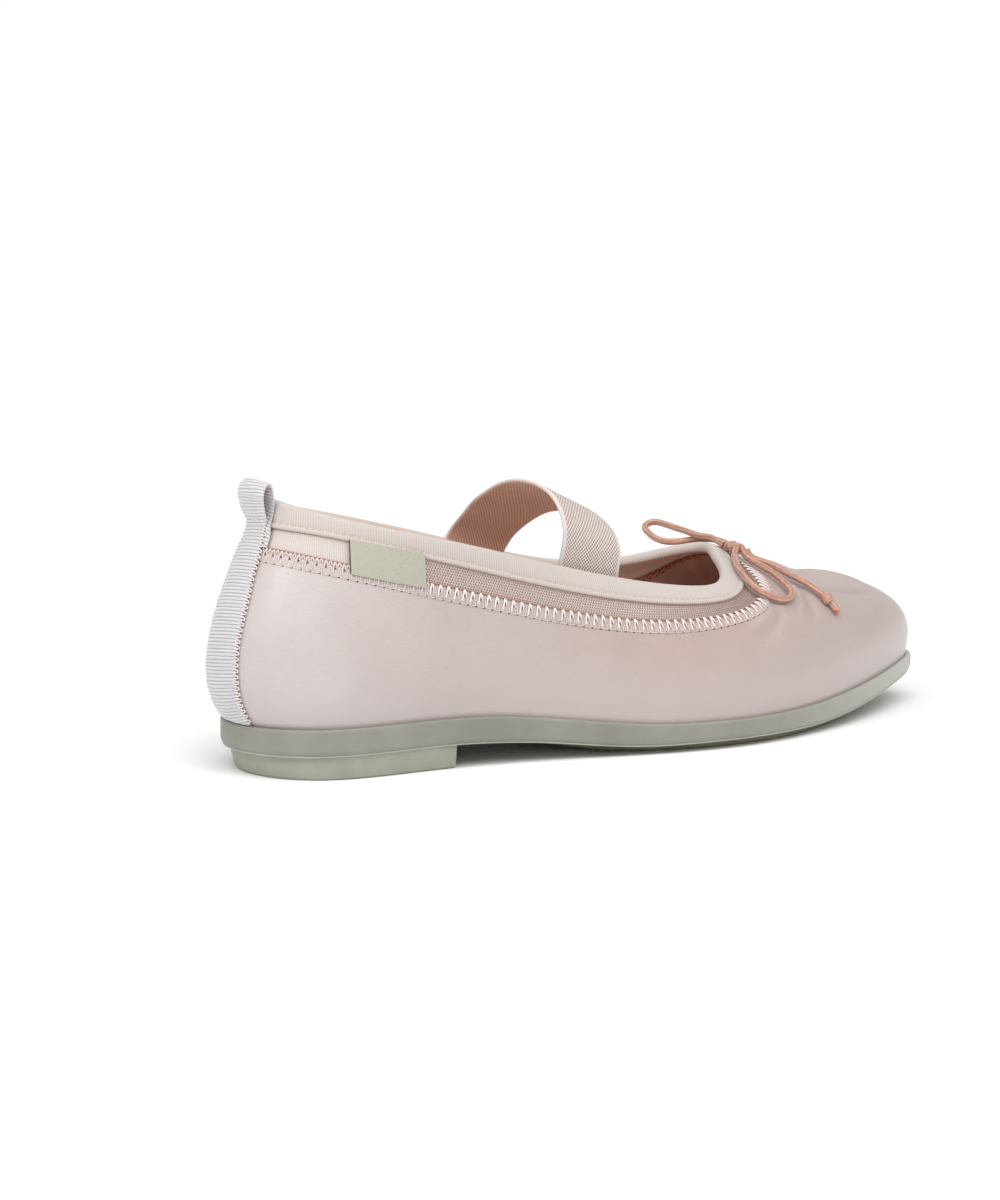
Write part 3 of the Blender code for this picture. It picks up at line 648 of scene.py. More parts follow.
class Bench:
    """Makes and finishes meshes with the modelling operators."""

    @staticmethod
    def place(name: str, data: ID) -> Object:
        """Put a mesh, a light or a camera into the scene.

        Args:
            name: the object's name.
            data: what it shows.

        Returns:
            The object.
        """
        thing = bpy.data.objects.new(name, data)
        bpy.context.scene.collection.objects.link(thing)
        return thing

    @staticmethod
    def only(piece: Object) -> None:
        """Select one piece and nothing else.

        Args:
            piece: the piece to select.
        """
        bpy.ops.object.select_all(action="DESELECT")
        piece.select_set(True)
        bpy.context.view_layer.objects.active = piece

    @staticmethod
    def edit(piece: Object, *steps: Callable[[], object]) -> None:
        """Run operators on all of a piece in edit mode.

        Args:
            piece: the piece to work on.
            steps: the operators, in order, each a function without arguments.
        """
        Bench.only(piece)
        bpy.ops.object.mode_set(mode="EDIT")
        bpy.ops.mesh.select_all(action="SELECT")
        for step in steps:
            step()
        bpy.ops.object.mode_set(mode="OBJECT")

    @staticmethod
    def sheet(name: str, columns: Array, measures: Array) -> Object:
        """Add a grid, lay it in place and close it where its edges meet.

        Args:
            name: the piece's name.
            columns: for each column of the grid, its places in metres.
            measures: for each column, the UV of each place, in millimetres.

        Returns:
            The closed solid, with its faces outwards.
        """
        count, rows = columns.shape[:2]
        bpy.ops.mesh.primitive_grid_add(x_subdivisions=count - 1, y_subdivisions=rows - 1,
                                        size=1.0, calc_uvs=True)
        piece = bpy.context.object
        piece.name = piece.data.name = name
        mesh = piece.data
        flat = np.empty(3 * len(mesh.vertices))
        mesh.vertices.foreach_get("co", flat)
        flat = flat.reshape(-1, 3)
        column = np.rint((flat[:, 0] + 0.5) * (count - 1)).astype(int)
        row = np.rint((flat[:, 1] + 0.5) * (rows - 1)).astype(int)
        mesh.vertices.foreach_set("co", columns[column, row].ravel())
        corners = np.empty(len(mesh.loops), int)
        mesh.loops.foreach_get("vertex_index", corners)
        spread = measures[column, row][corners]
        mesh.uv_layers.active.data.foreach_set("uv", spread.ravel())
        mesh.update()
        Bench.edit(piece, lambda: bpy.ops.mesh.remove_doubles(threshold=1e-6),
                   lambda: bpy.ops.mesh.normals_make_consistent(inside=False))
        Bench.smooth(piece)
        return piece

    @staticmethod
    def smooth(piece: Object, angle: float = 50.0) -> None:
        """Shade a piece smooth, with an edge wherever it turns by more than an angle."""
        Bench.only(piece)
        bpy.ops.object.shade_smooth_by_angle(angle=math.radians(angle))

    @staticmethod
    def hoop(name: str, sections: Array, measures: Array, wrap: bool = True) -> Object:
        """Loft a closed section into a solid.

        Args:
            name: the piece's name.
            sections: for each section, its places in order, in metres.
            measures: the UV of each place, in millimetres.
            wrap: the sections go all the way round and meet; if not, each end is closed flat.

        Returns:
            The solid.
        """
        if not wrap:
            sections, measures = (
                np.concatenate(((rows[:1] + rows[:1, ::-1]) / 2, rows,
                                (rows[-1:] + rows[-1:, ::-1]) / 2))
                for rows in (sections, measures))
        sections = np.concatenate((sections, sections[:, :1]), axis=1)
        measures = np.concatenate((measures, measures[:, :1]), axis=1)
        return Bench.sheet(name, sections, measures)

    @staticmethod
    def slab(name: str, outer: Array, inner: Array, measures: Array, wrap: bool = False) -> Object:
        """Loft the solid between an outer and an inner face.

        Args:
            name: the piece's name.
            outer: the outer face, a row of places for each section, in metres.
            inner: the inner face, in the same order.
            measures: the UV of the outer face's places, in millimetres.
            wrap: the faces go all the way round and meet.

        Returns:
            The solid.
        """
        sections = np.concatenate((outer, inner[:, ::-1]), axis=1)
        spread = np.concatenate((measures, measures[:, ::-1]), axis=1)
        return Bench.hoop(name, sections, spread, wrap)

    @staticmethod
    def block(name: str, rings: Sequence[Array]) -> Object:
        """Loft closed rings, one above the other, and close the first and the last across.

        Args:
            name: the piece's name.
            rings: rings of places in metres, mirror-like about their first place.

        Returns:
            The solid, with UV in plan in millimetres.
        """
        def spine(ring: Array) -> Array:
            """Return the line midway between a ring's two sides."""
            return (ring + np.roll(ring[::-1], 1, axis=0)) / 2

        rows = np.array([spine(rings[0]), *rings, spine(rings[-1])]).swapaxes(0, 1)
        rows = np.concatenate((rows, rows[:1]))
        return Bench.sheet(name, rows, rows[..., :2] / MM)

    @staticmethod
    def strands(name: str, lines: Sequence[Array], radius: float, sides: int = 6) -> Object:
        """Sweep a round strand along each of many lines, as one piece.

        Each strand lies differently on the shoe, so they are swept and not copied.

        Args:
            name: the piece's name.
            lines: the centrelines, in metres.
            radius: the strands' radius in millimetres.
            sides: the number of sides of a strand.

        Returns:
            The piece, with UV along each strand in millimetres.
        """
        points: list[Array] = []
        faces: list[tuple[int, ...]] = []
        spread: list[tuple[float, float]] = []
        order = range(sides)
        angles = 2 * math.pi * np.arange(sides) / sides
        for line in lines:
            start = sides * len(points)
            ways = unit(np.gradient(line, axis=0))
            lengths = along_points(line) / MM
            across = unit(np.cross(ways[0], (0.31, 0.17, 0.93)))
            for place, way in zip(line, ways):
                across = unit(across - (across @ way) * way)
                up = np.cross(way, across)
                ring = np.cos(angles)[:, None] * across + np.sin(angles)[:, None] * up
                points.append(place + MM * radius * ring)
            for row, (low, high) in enumerate(zip(lengths, lengths[1:])):
                for side in order:
                    one, two = (start + sides * row + at for at in (side, (side + 1) % sides))
                    faces.append((one, two, two + sides, one + sides))
                    left, right = side / sides, (side + 1) / sides
                    spread += [(left, low), (right, low), (right, high), (left, high)]
            last = start + sides * (len(line) - 1)
            for end, rim, length in ((start, order[::-1], 0.0), (last, order, lengths[-1])):
                faces.append(tuple(end + side for side in rim))
                spread += [(side / sides, length) for side in rim]
        mesh = bpy.data.meshes.new(name)
        mesh.from_pydata(np.concatenate(points).tolist(), [], faces)
        layer = mesh.uv_layers.new(name="UVMap")
        layer.data.foreach_set("uv", np.array(spread).ravel())
        piece = Bench.place(name, mesh)
        Bench.smooth(piece)
        return piece

    @staticmethod
    def sew(name: str, lines: Sequence[Array], radius: float, finish: "Strand", slot: str,
            sides: int = 6) -> None:
        """Sweep a strand along each of many lines and dress them as one piece.

        Args:
            name: the piece's name.
            lines: the centrelines, in metres.
            radius: the strands' radius in millimetres.
            finish: what they are made of.
            slot: the record's material slot.
            sides: the number of sides of a strand.
        """
        piece = Bench.strands(name, lines, radius, sides)
        Bench.finish(piece, finish.make(), slot)

    @staticmethod
    def join(name: str, pieces: Sequence[Object]) -> Object:
        """Join pieces into one.

        Args:
            name: the name of the whole.
            pieces: the pieces, of which the first one takes the others in.

        Returns:
            The whole.
        """
        Bench.only(pieces[0])
        for piece in pieces:
            piece.select_set(True)
        bpy.ops.object.join()
        pieces[0].name = pieces[0].data.name = name
        return pieces[0]

    @staticmethod
    def finish(piece: Object, material: Material, slot: str,
               stands_for: Sequence[str] = ()) -> Object:
        """Dress a piece, fix it to the shoe and log it.

        Args:
            piece: the finished mesh.
            material: its material.
            slot: the record's material slot that it belongs to; not used.
            stands_for: CAD nodes that it replaces.

        Returns:
            The same piece.
        """
        if not piece.data.materials:
            piece.data.materials.append(material)
        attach(piece, "root")
        if stands_for:
            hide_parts(*stands_for)
        LOG.info("%s: %d faces", piece.name, len(piece.data.polygons))
        return piece


# ---- finishes ----------------------------------------------------------------------------------

Colour = tuple[float, float, float]
Yarns = tuple[NodeSocket, NodeSocket]


def tint(code: str) -> Colour:
    """Read a display colour.

    Args:
        code: the colour as six hexadecimal digits, such as ddd0cc.

    Returns:
        The colour as linear light.
    """
    parts = (int(code[at:at + 2], 16) / 255.0 for at in (0, 2, 4))
    return tuple(part / 12.92 if part <= 0.04045 else ((part + 0.055) / 1.055) ** 2.4
                 for part in parts)


class Recipe:
    """The nodes of one material."""

    def __init__(self, name: str, roughness: float) -> None:
        """Start a material.

        Args:
            name: its name.
            roughness: the roughness of its surface.
        """
        self.material = bpy.data.materials.new(name)
        self.material.use_nodes = True
        self.tree = self.material.node_tree
        self.shader = self.tree.nodes["Principled BSDF"]
        self.set(Roughness=roughness)

    def set(self, **values: object) -> None:
        """Feed sockets of the shader, written with _ for each space."""
        for key, value in values.items():
            self.feed(value, self.shader.inputs[key.replace("_", " ")])

    def node(self, kind: str, **settings: object) -> Node:
        """Add a node.

        Args:
            kind: the node's type.
            settings: its properties and, by names that start with a capital, what its sockets
                are fed.

        Returns:
            The node.
        """
        node = self.tree.nodes.new(kind)
        for key, value in settings.items():
            if key[0].isupper():
                self.feed(value, node.inputs[key.replace("_", " ")])
            else:
                setattr(node, key, value)
        return node

    def feed(self, value: object, target: NodeSocket) -> None:
        """Give a socket what another socket puts out, or a plain value.

        Args:
            value: the other socket, or the value.
            target: the socket.
        """
        if isinstance(value, NodeSocket):
            self.tree.links.new(value, target)
        else:
            target.default_value = value

    def maths(self, operation: str, first: object, second: object = 0.0,
              third: object = 0.0) -> NodeSocket:
        """Work out a sum.

        Args:
            operation: what to do, by the name that the maths node gives it.
            first: a socket or a number.
            second: a socket or a number.
            third: a socket or a number.

        Returns:
            The result.
        """
        node = self.node("ShaderNodeMath", operation=operation)
        for socket, value in zip(node.inputs, (first, second, third)):
            self.feed(value, socket)
        return node.outputs[0]

    def weigh(self, first: object, share: float, second: object, other: float) -> NodeSocket:
        """Return the first value times its share, plus the second times the other share."""
        return self.maths("MULTIPLY_ADD", first, share, self.maths("MULTIPLY", second, other))

    def place(self, kind: str) -> list[NodeSocket]:
        """Find where a point lies.

        Args:
            kind: UV for the piece's own UV in millimetres, Object for its axes in metres.

        Returns:
            The coordinates.
        """
        where = self.node("ShaderNodeTexCoord").outputs[kind]
        return list(self.node("ShaderNodeSeparateXYZ", Vector=where).outputs)

    def uv(self) -> list[NodeSocket]:
        """Return the two directions of the piece's own UV, in millimetres."""
        return self.place("UV")[:2]

    def wave(self, along: object, pitch: float, sharpness: float = 1.0) -> NodeSocket:
        """Return a row of ribs along a direction: 0 in the grooves and 1 on the crests.

        Args:
            along: the direction, in millimetres.
            pitch: the distance from crest to crest in millimetres.
            sharpness: above 1 for narrow crests, below 1 for narrow grooves.

        Returns:
            The height of the ribs.
        """
        angle = self.maths("MULTIPLY", along, 2 * math.pi / pitch)
        height = self.maths("MULTIPLY_ADD", self.maths("SINE", angle), 0.5, 0.5)
        return self.maths("POWER", height, sharpness) if sharpness != 1.0 else height

    def noise(self, scale: float, detail: float = 3.0, stretch: Sequence[float] = (1, 1, 1),
              by_uv: bool = False) -> NodeSocket:
        """Make soft noise.

        Args:
            scale: how fine it is, per metre of the object or per millimetre of its UV.
            detail: how many finer layers it has.
            stretch: how much finer it is along each axis.
            by_uv: True to lay it on the UV.

        Returns:
            The noise, from 0 to 1.
        """
        where = self.node("ShaderNodeTexCoord").outputs["UV" if by_uv else "Object"]
        where = self.node("ShaderNodeMapping", Scale=stretch, Vector=where).outputs[0]
        return self.node("ShaderNodeTexNoise", Scale=scale, Detail=detail, Roughness=0.55,
                         Vector=where).outputs["Fac"]

    def fuzz(self, across: float, along: float, detail: float = 2.0) -> NodeSocket:
        """Return soft noise on the UV, by how fine it is along each direction."""
        return self.noise(1.0, detail, (across, along, 1.0), by_uv=True)

    def ramp(self, value: object, low: float, high: float) -> NodeSocket:
        """Stretch a value, and clamp it.

        Args:
            value: the value.
            low: what gives 0.
            high: what gives 1.

        Returns:
            The stretched value.
        """
        return self.node("ShaderNodeMapRange", clamp=True, From_Min=low, From_Max=high,
                         Value=value).outputs[0]

    def blend(self, share: object, dark: object, light: object, how: str = "MIX") -> NodeSocket:
        """Mix two colours.

        Args:
            share: 0 for the first colour and 1 for the second.
            dark: the first colour, its code or its socket.
            light: the second colour, its code or its socket.
            how: how they mix, by the name that the mixing node gives it.

        Returns:
            The mixed colour.
        """
        node = self.node("ShaderNodeMix", data_type="RGBA", blend_type=how)
        self.feed(share, node.inputs[0])
        for socket, value in zip(node.inputs[6:8], (dark, light)):
            value = tint(value) if isinstance(value, str) else value
            self.feed(value if isinstance(value, NodeSocket) else (*value, 1.0), socket)
        return node.outputs[2]

    def colour(self, share: object, dark: object, light: object) -> None:
        """Use the mix of two colours for the surface."""
        self.set(Base_Color=self.blend(share, dark, light))

    def relief(self, height: NodeSocket, depth: float) -> None:
        """Raise the surface.

        Args:
            height: how high each point stands, from 0 to 1.
            depth: the full height in millimetres.
        """
        bump = self.node("ShaderNodeBump", Strength=1.0, Distance=MM * depth, Height=height)
        self.set(Normal=bump.outputs[0])


class Weave(Enum):
    """How a cloth is made."""

    RIB_KNIT = "rib knit"
    NET = "net"
    ELASTIC = "elastic"
    TWILL_TAPE = "twill tape"
    BRUSHED = "brushed"


@dataclass(frozen=True)
class Cloth:
    """A cloth: its weave, its darkest and lightest yarn and the pitch of its pattern."""

    name: str
    weave: Weave
    dark: str
    light: str
    pitch: float = 1.0
    depth: float = 0.1
    roughness: float = 0.8
    sheen: float = 0.15
    front: str = ""

    def make(self) -> Material:
        """Make the cloth's material, dimmed by its front tint from the waist forward.

        Returns:
            The material.
        """
        recipe = Recipe(self.name, self.roughness)
        recipe.set(Sheen_Weight=self.sheen, Sheen_Roughness=0.45, Specular_IOR_Level=0.3)
        share, height = {
            Weave.RIB_KNIT: self._rib_knit,
            Weave.NET: self._net,
            Weave.ELASTIC: self._elastic,
            Weave.TWILL_TAPE: self._tape,
            Weave.BRUSHED: self._brushed,
        }[self.weave](recipe)
        dark, light = tint(self.dark), tint(self.light)
        if self.front:
            dim = tint(self.front)
            yarns = recipe.blend(share, dark, light)
            front = recipe.blend(share, *(tuple(one * other for one, other in zip(yarn, dim))
                                          for yarn in (dark, light)))
            forward = recipe.place("Object")[0]
            recipe.colour(recipe.ramp(forward, 0.0, 0.04), yarns, front)
        else:
            recipe.colour(share, dark, light)
        recipe.relief(height, self.depth)
        return recipe.material

    def _rib_knit(self, recipe: Recipe) -> Yarns:
        """Draw ribs across the tape, each a chain of small loops.

        Args:
            recipe: the material's nodes.

        Returns:
            The share of the light yarn, and the height.
        """
        along, across = recipe.uv()
        rib = recipe.wave(along, self.pitch, 0.7)
        loops = recipe.wave(across, self.pitch * 0.62)
        height = recipe.weigh(loops, 0.22, rib, 0.78)
        fuzz = recipe.fuzz(1.6, 1.6)
        share = recipe.weigh(fuzz, 0.5, height, 0.6)
        return recipe.ramp(share, 0.15, 0.85), height

    def _net(self, recipe: Recipe) -> Yarns:
        """Draw an open warp knit: slanting meshes between upright wales.

        Args:
            recipe: the material's nodes.

        Returns:
            The share of the light yarn, and the height.
        """
        along, across = recipe.uv()
        swing = recipe.maths("MULTIPLY", recipe.maths("SINE", recipe.maths(
            "MULTIPLY", across, 2 * math.pi / (self.pitch * 1.9))), self.pitch * 0.32)
        wale = recipe.wave(recipe.maths("ADD", along, swing), self.pitch, 0.8)
        hole = recipe.wave(across, self.pitch * 0.95, 0.8)
        height = recipe.weigh(hole, 0.35, wale, 0.65)
        fuzz = recipe.fuzz(0.9, 0.9)
        share = recipe.weigh(fuzz, 0.35, height, 0.75)
        return recipe.ramp(share, 0.28, 0.68), height

    def _elastic(self, recipe: Recipe) -> Yarns:
        """Draw a woven elastic: staggered floats between rubber warps.

        Args:
            recipe: the material's nodes.

        Returns:
            The share of the light yarn, and the height.
        """
        across, along = recipe.uv()
        row = recipe.maths("MULTIPLY", across, 2 * math.pi / self.pitch)
        step = recipe.maths("MULTIPLY", along, 2 * math.pi / (self.pitch * 1.3))
        weave = recipe.maths("MULTIPLY", recipe.maths("SINE", row), recipe.maths("SINE", step))
        height = recipe.maths("MULTIPLY_ADD", weave, 0.5, 0.5)
        fuzz = recipe.fuzz(0.7, 0.7)
        share = recipe.weigh(fuzz, 0.16, height, 0.84)
        off_middle = recipe.maths("ABSOLUTE", recipe.maths("SUBTRACT", across, 10.5))
        selvedge = recipe.maths("MULTIPLY", recipe.ramp(off_middle, 9.2, 9.6), 0.8)
        return recipe.maths("MAXIMUM", recipe.ramp(share, 0.2, 0.75), selvedge), height

    def _tape(self, recipe: Recipe) -> Yarns:
        """Draw a fine close tape, ribbed across.

        Args:
            recipe: the material's nodes.

        Returns:
            The share of the light yarn, and the height.
        """
        along, across = recipe.uv()
        rib = recipe.wave(across, self.pitch, 0.8)
        ends = recipe.wave(along, self.pitch * 0.5)
        height = recipe.weigh(ends, 0.25, rib, 0.75)
        fuzz = recipe.fuzz(1.2, 1.2)
        share = recipe.weigh(fuzz, 0.5, height, 0.55)
        return recipe.ramp(share, 0.15, 0.85), height

    def _brushed(self, recipe: Recipe) -> Yarns:
        """Draw a brushed nap, without a direction.

        Args:
            recipe: the material's nodes.

        Returns:
            The share of the light yarn, and the height.
        """
        nap = recipe.noise(900.0, 3.0)
        patch = recipe.noise(60.0, 2.0)
        share = recipe.weigh(nap, 0.5, patch, 0.5)
        return recipe.ramp(share, 0.30, 0.70), nap


@dataclass(frozen=True)
class Satin:
    """Satin: pearly at the heel, pinker along the waist and greyer over the toe, the heel's
    lightness partly painted light; paler near the sole as a painted reflection of the floor.
    """

    name: str = "pink_satin"
    # Tints from heel to toe: partly the satin's own colour, partly painted light, the heel painted
    # lighter where the key light falls.
    heel: str = "c5bdba"
    waist: str = "b7a39d"
    toe: str = "b5a6a0"
    # Colour blended in near the sole: a painted reflection of the pale floor.
    low: str = "bdb3b1"
    roughness: float = 0.33
    sheen: float = 0.25
    depth: float = 0.05

    def make(self) -> Material:
        """Make the satin's material.

        Returns:
            The material.
        """
        recipe = Recipe(self.name, self.roughness)
        recipe.set(Sheen_Weight=self.sheen, Sheen_Roughness=0.45, Specular_IOR_Level=0.7)
        forward, _, up = recipe.place("Object")
        # Heel-to-toe ramp: partly the satin's own tint, partly painted light that makes the heel
        # lighter.
        rear = recipe.blend(recipe.ramp(forward, -0.11, 0.01), self.heel, self.waist)
        body = recipe.blend(recipe.ramp(forward, 0.03, 0.10), rear, self.toe)
        mottle = recipe.noise(38.0, 2.0)
        floats = recipe.fuzz(0.45, 3.2)
        grain = recipe.fuzz(2.8, 2.8, 1.0)
        share = recipe.weigh(floats, 0.5, mottle, 0.5)
        lustre = recipe.blend(recipe.ramp(share, 0.3, 0.7), (0.88, 0.86, 0.86), (1.04, 1.03, 1.03))
        # Painted reflection of the floor: the satin turns paler and greyer towards the sole.
        low = recipe.maths("MULTIPLY", recipe.ramp(up, 0.034, 0.016), 0.55)
        recipe.colour(low, recipe.blend(1.0, body, lustre, "MULTIPLY"), self.low)
        recipe.relief(recipe.maths("ADD", floats, recipe.maths("MULTIPLY", grain, 0.6)), self.depth)
        return recipe.material


@dataclass(frozen=True)
class Ribbon:
    """Grosgrain: cross ribs by the length along the ribbon, with painted shade greying the grooves
    between the bright crests.
    """

    name: str = "grosgrain_ribbon"
    # Groove colour: painted shade between the ribs.
    groove: str = "7c767a"
    crest: str = "dad5d8"
    pitch: float = 1.04

    def make(self) -> Material:
        """Make the ribbon's material.

        Returns:
            The material.
        """
        recipe = Recipe(self.name, 0.55)
        recipe.set(Sheen_Weight=0.3, Sheen_Roughness=0.4, Specular_IOR_Level=0.4,
                   Subsurface_Weight=0.4, Subsurface_Radius=(0.005, 0.004, 0.004),
                   Subsurface_Scale=1.0)
        across, along = recipe.uv()
        rib = recipe.maths("ABSOLUTE", recipe.maths("SINE", recipe.maths(
            "MULTIPLY", along, math.pi / self.pitch)))
        rib = recipe.maths("POWER", rib, 0.4)
        yarn = recipe.wave(across, 0.28)
        fuzz = recipe.fuzz(0.8, 2.4)
        share = recipe.weigh(fuzz, 0.3, rib, 0.85)
        # Painted shade: the grooves are darkened between the lighter crests.
        recipe.colour(recipe.ramp(share, 0.15, 0.95), self.groove, self.crest)
        recipe.relief(recipe.maths("MULTIPLY_ADD", yarn, 0.12, rib), 0.10)
        return recipe.material


@dataclass(frozen=True)
class Strand:
    """A thread or cord: yarns that lie round it with a slow twist."""

    name: str
    dark: str
    light: str
    yarns: float = 7.0
    lay: float = 9.0
    depth: float = 0.05
    roughness: float = 0.45
    sheen: float = 0.3

    def make(self) -> Material:
        """Make the strand's material.

        Returns:
            The material.
        """
        recipe = Recipe(self.name, self.roughness)
        recipe.set(Sheen_Weight=self.sheen, Sheen_Roughness=0.35, Specular_IOR_Level=0.5)
        across, along = recipe.uv()
        twist = recipe.maths("MULTIPLY_ADD", across, self.yarns,
                             recipe.maths("MULTIPLY", along, 1.0 / self.lay))
        yarn = recipe.wave(twist, 1.0, 0.6)
        fuzz = recipe.fuzz(4.0, 0.6)
        share = recipe.weigh(fuzz, 0.7, yarn, 0.4)
        recipe.colour(recipe.ramp(share, 0.25, 0.85), self.dark, self.light)
        recipe.relief(yarn, self.depth)
        return recipe.material


def sewing_thread(name: str, dark: str, light: str, lay: float = 1.6,
                  depth: float = 0.04) -> Strand:
    """Return the finish of a three-ply sewing thread."""
    return Strand(name, dark, light, yarns=3.0, lay=lay, depth=depth)


@dataclass(frozen=True)
class Rubber:
    """Moulded crepe-like rubber: matt, slightly clear, paler where it is thin towards the toe."""

    name: str
    dark: str
    light: str
    toe: str
    toe_from: float = 0.04
    toe_to: float = 0.12
    roughness: float = 0.5

    def make(self) -> Material:
        """Make the rubber's material.

        Returns:
            The material.
        """
        recipe = Recipe(self.name, self.roughness)
        recipe.set(Subsurface_Weight=0.15, Subsurface_Radius=(0.004, 0.004, 0.003),
                   Subsurface_Scale=1.0, Specular_IOR_Level=0.45)
        cloud = recipe.noise(55.0, 4.0)
        body = recipe.blend(recipe.ramp(cloud, 0.35, 0.65), self.dark, self.light)
        forward = recipe.ramp(recipe.place("Object")[0], self.toe_from, self.toe_to)
        recipe.colour(forward, body, self.toe)
        grain = recipe.noise(1400.0, 3.0)
        swell = recipe.noise(120.0, 2.0)
        recipe.relief(recipe.maths("MULTIPLY_ADD", grain, 0.25, swell), 0.12)
        return recipe.material


@dataclass(frozen=True)
class Plain:
    """A small piece with a soft variation in its colour, such as a needle hole."""

    name: str
    dark: str
    light: str
    roughness: float = 0.8

    def make(self) -> Material:
        """Make the material.

        Returns:
            The material.
        """
        recipe = Recipe(self.name, self.roughness)
        cloud = recipe.ramp(recipe.noise(700.0, 2.0), 0.35, 0.65)
        recipe.colour(cloud, self.dark, self.light)
        return recipe.material


# ---- bow ---------------------------------------------------------------------------------------

@dataclass
class Bow:
    """The satin cord's bow: a knot, two loops, and two ends with a small knot near each tip."""

    last: Last
    cord: float = 2.1
    knot_size: tuple[float, float, float] = (4.4, 5.8, 3.8)
    end_knot: float = 4.0
    end_length: float = 4.9
    tip: float = 2.1
    finish: Strand = Strand("satin_cord", "99664f", "cba08c", yarns=5.0, lay=22.0, depth=0.06,
                            roughness=0.32)
    seared: Plain = Plain("seared_cord_end", "a85f45", "cf8a6e", roughness=0.35)

    def middle(self) -> Array:
        """Return the middle of the knot."""
        return self.last.skin(*KNOT_PLACE)

    def route(self, name: str) -> Array:
        """Draw the centreline of one cord.

        Args:
            name: the cord's node.

        Returns:
            The line, in metres.
        """
        exits = [self.middle() + offset for offset in KNOT_EXITS[name]]
        over = {"bow_loop_lateral": LATERAL_LOOP, "bow_end_lateral": LATERAL_END,
                "bow_end_medial": MEDIAL_END}
        places = [self.last.skin(*row) for row in over[name]] if name in over else MEDIAL_LOOP
        return self.last.world(smooth_line([exits[0], *places, *exits[1:]], 0.9))

    def build_cord(self, name: str, material: Material) -> Array:
        """Args:
            name: the CAD node that it replaces, a loop or an end.
            material: the cord's material.

        Returns:
            Its centreline, in metres.
        """
        route = self.route(name)
        piece = Bench.strands(f"cord_{name}", [route], self.cord / 2, sides=14)
        Bench.finish(piece, material, "satin_cord", (name,))
        extras = [self.build_end(name, route, material)] if "end" in name else []
        return route

    def egg(self, middle: Array, size: Sequence[float], along: Array) -> Object:
        """Add an egg-shaped lump of cord.

        Args:
            middle: its middle in metres.
            size: its size in millimetres along, across and up.
            along: the direction that it lies in.

        Returns:
            The lump.
        """
        bpy.ops.mesh.primitive_uv_sphere_add(segments=28, ring_count=16, radius=0.5)
        lump = bpy.context.object
        lump.data.transform(placing(frame_along(along) * MM * np.array(size), middle))
        Bench.smooth(lump, 80.0)
        return lump

    def wrap(self, middle: Array, along: Array, half: Sequence[float],
             tilt: float, offset: float) -> Array:
        """Return the centreline of one turn of cord round a lump.

        Args:
            middle: the lump's middle in metres.
            along: the lump's length.
            half: the turn's half width and half height in millimetres.
            tilt: how far it leans along the lump, in millimetres.
            offset: how far along the lump it is, in millimetres.

        Returns:
            The closed line, in metres.
        """
        ahead, across, up = frame_along(along).T
        angles = np.linspace(0.0, 2 * math.pi, 33)[:, None]
        turn = (half[0] * np.cos(angles) * across + half[1] * np.sin(angles) * up
                + (offset + tilt * np.cos(angles + 0.6)) * ahead)
        return middle + MM * turn

    def build_end(self, name: str, route: Array, material: Material) -> Object:
        """Build the small knot near a cord's tip, and the seared tip itself.

        Args:
            name: the cord's name.
            route: its centreline, in metres.
            material: the cord's material.

        Returns:
            The knot and tip, as one piece.
        """
        lengths = along_points(route)
        at = lengths[-1] - MM * self.end_length
        middle = np.array([np.interp(at, lengths, route[:, axis]) for axis in range(3)])
        along = route[-1] - route[-5]
        half = self.end_knot / 2 - self.cord * 0.36
        lines = [self.wrap(middle, along, (half, half * 0.9), tilt, offset)
                 for tilt, offset in ((0.55, -0.35), (-0.6, 0.4))]
        knot = Bench.strands(f"{name}_knot", lines, self.cord * 0.36, sides=10)
        knot.data.materials.append(material)
        core = self.egg(middle, (self.end_knot * 0.85,) * 3, along)
        core.data.materials.append(material)
        tip = self.egg(route[-1], (self.tip * 0.75, self.tip * 1.05, self.tip * 1.05), along)
        tip.data.materials.append(self.seared.make())
        piece = Bench.join(f"knot_{name}", [knot, core, tip])
        return Bench.finish(piece, material, "satin_cord")

    def build_knot(self, material: Material) -> None:
        """Build the knot: turns of cord drawn tight round each other.

        Args:
            material: the cord's material.
        """
        middle = self.last.world(self.middle())
        along = np.array((0.0, 1.0, 0.0))
        radius = self.cord * 0.46
        half = (self.knot_size[0] / 2 - radius, self.knot_size[2] / 2 - radius * 0.9)
        turns = ((0.5, -1.9, 0.86), (-0.9, 0.1, 1.12), (0.5, 2.0, 0.84))
        lines = [self.wrap(middle, along, (half[0] * size, half[1] * size), tilt, offset)
                 for tilt, offset, size in turns]
        knot = Bench.strands("knot_turns", lines, radius, sides=12)
        knot.data.materials.append(material)
        core = self.egg(middle, (self.knot_size[1] * 0.92, self.knot_size[0] * 0.74,
                                 self.knot_size[2] * 0.78), along)
        core.data.materials.append(material)
        piece = Bench.join("cord_bow_knot", [knot, core])
        Bench.finish(piece, material, "satin_cord", ("bow_knot",))

    def build(self) -> None:
        """Build the cords and the knot."""
        material = self.finish.make()
        for name in KNOT_EXITS:
            self.build_cord(name, material)
        self.build_knot(material)


# ---- sole --------------------------------------------------------------------------------------

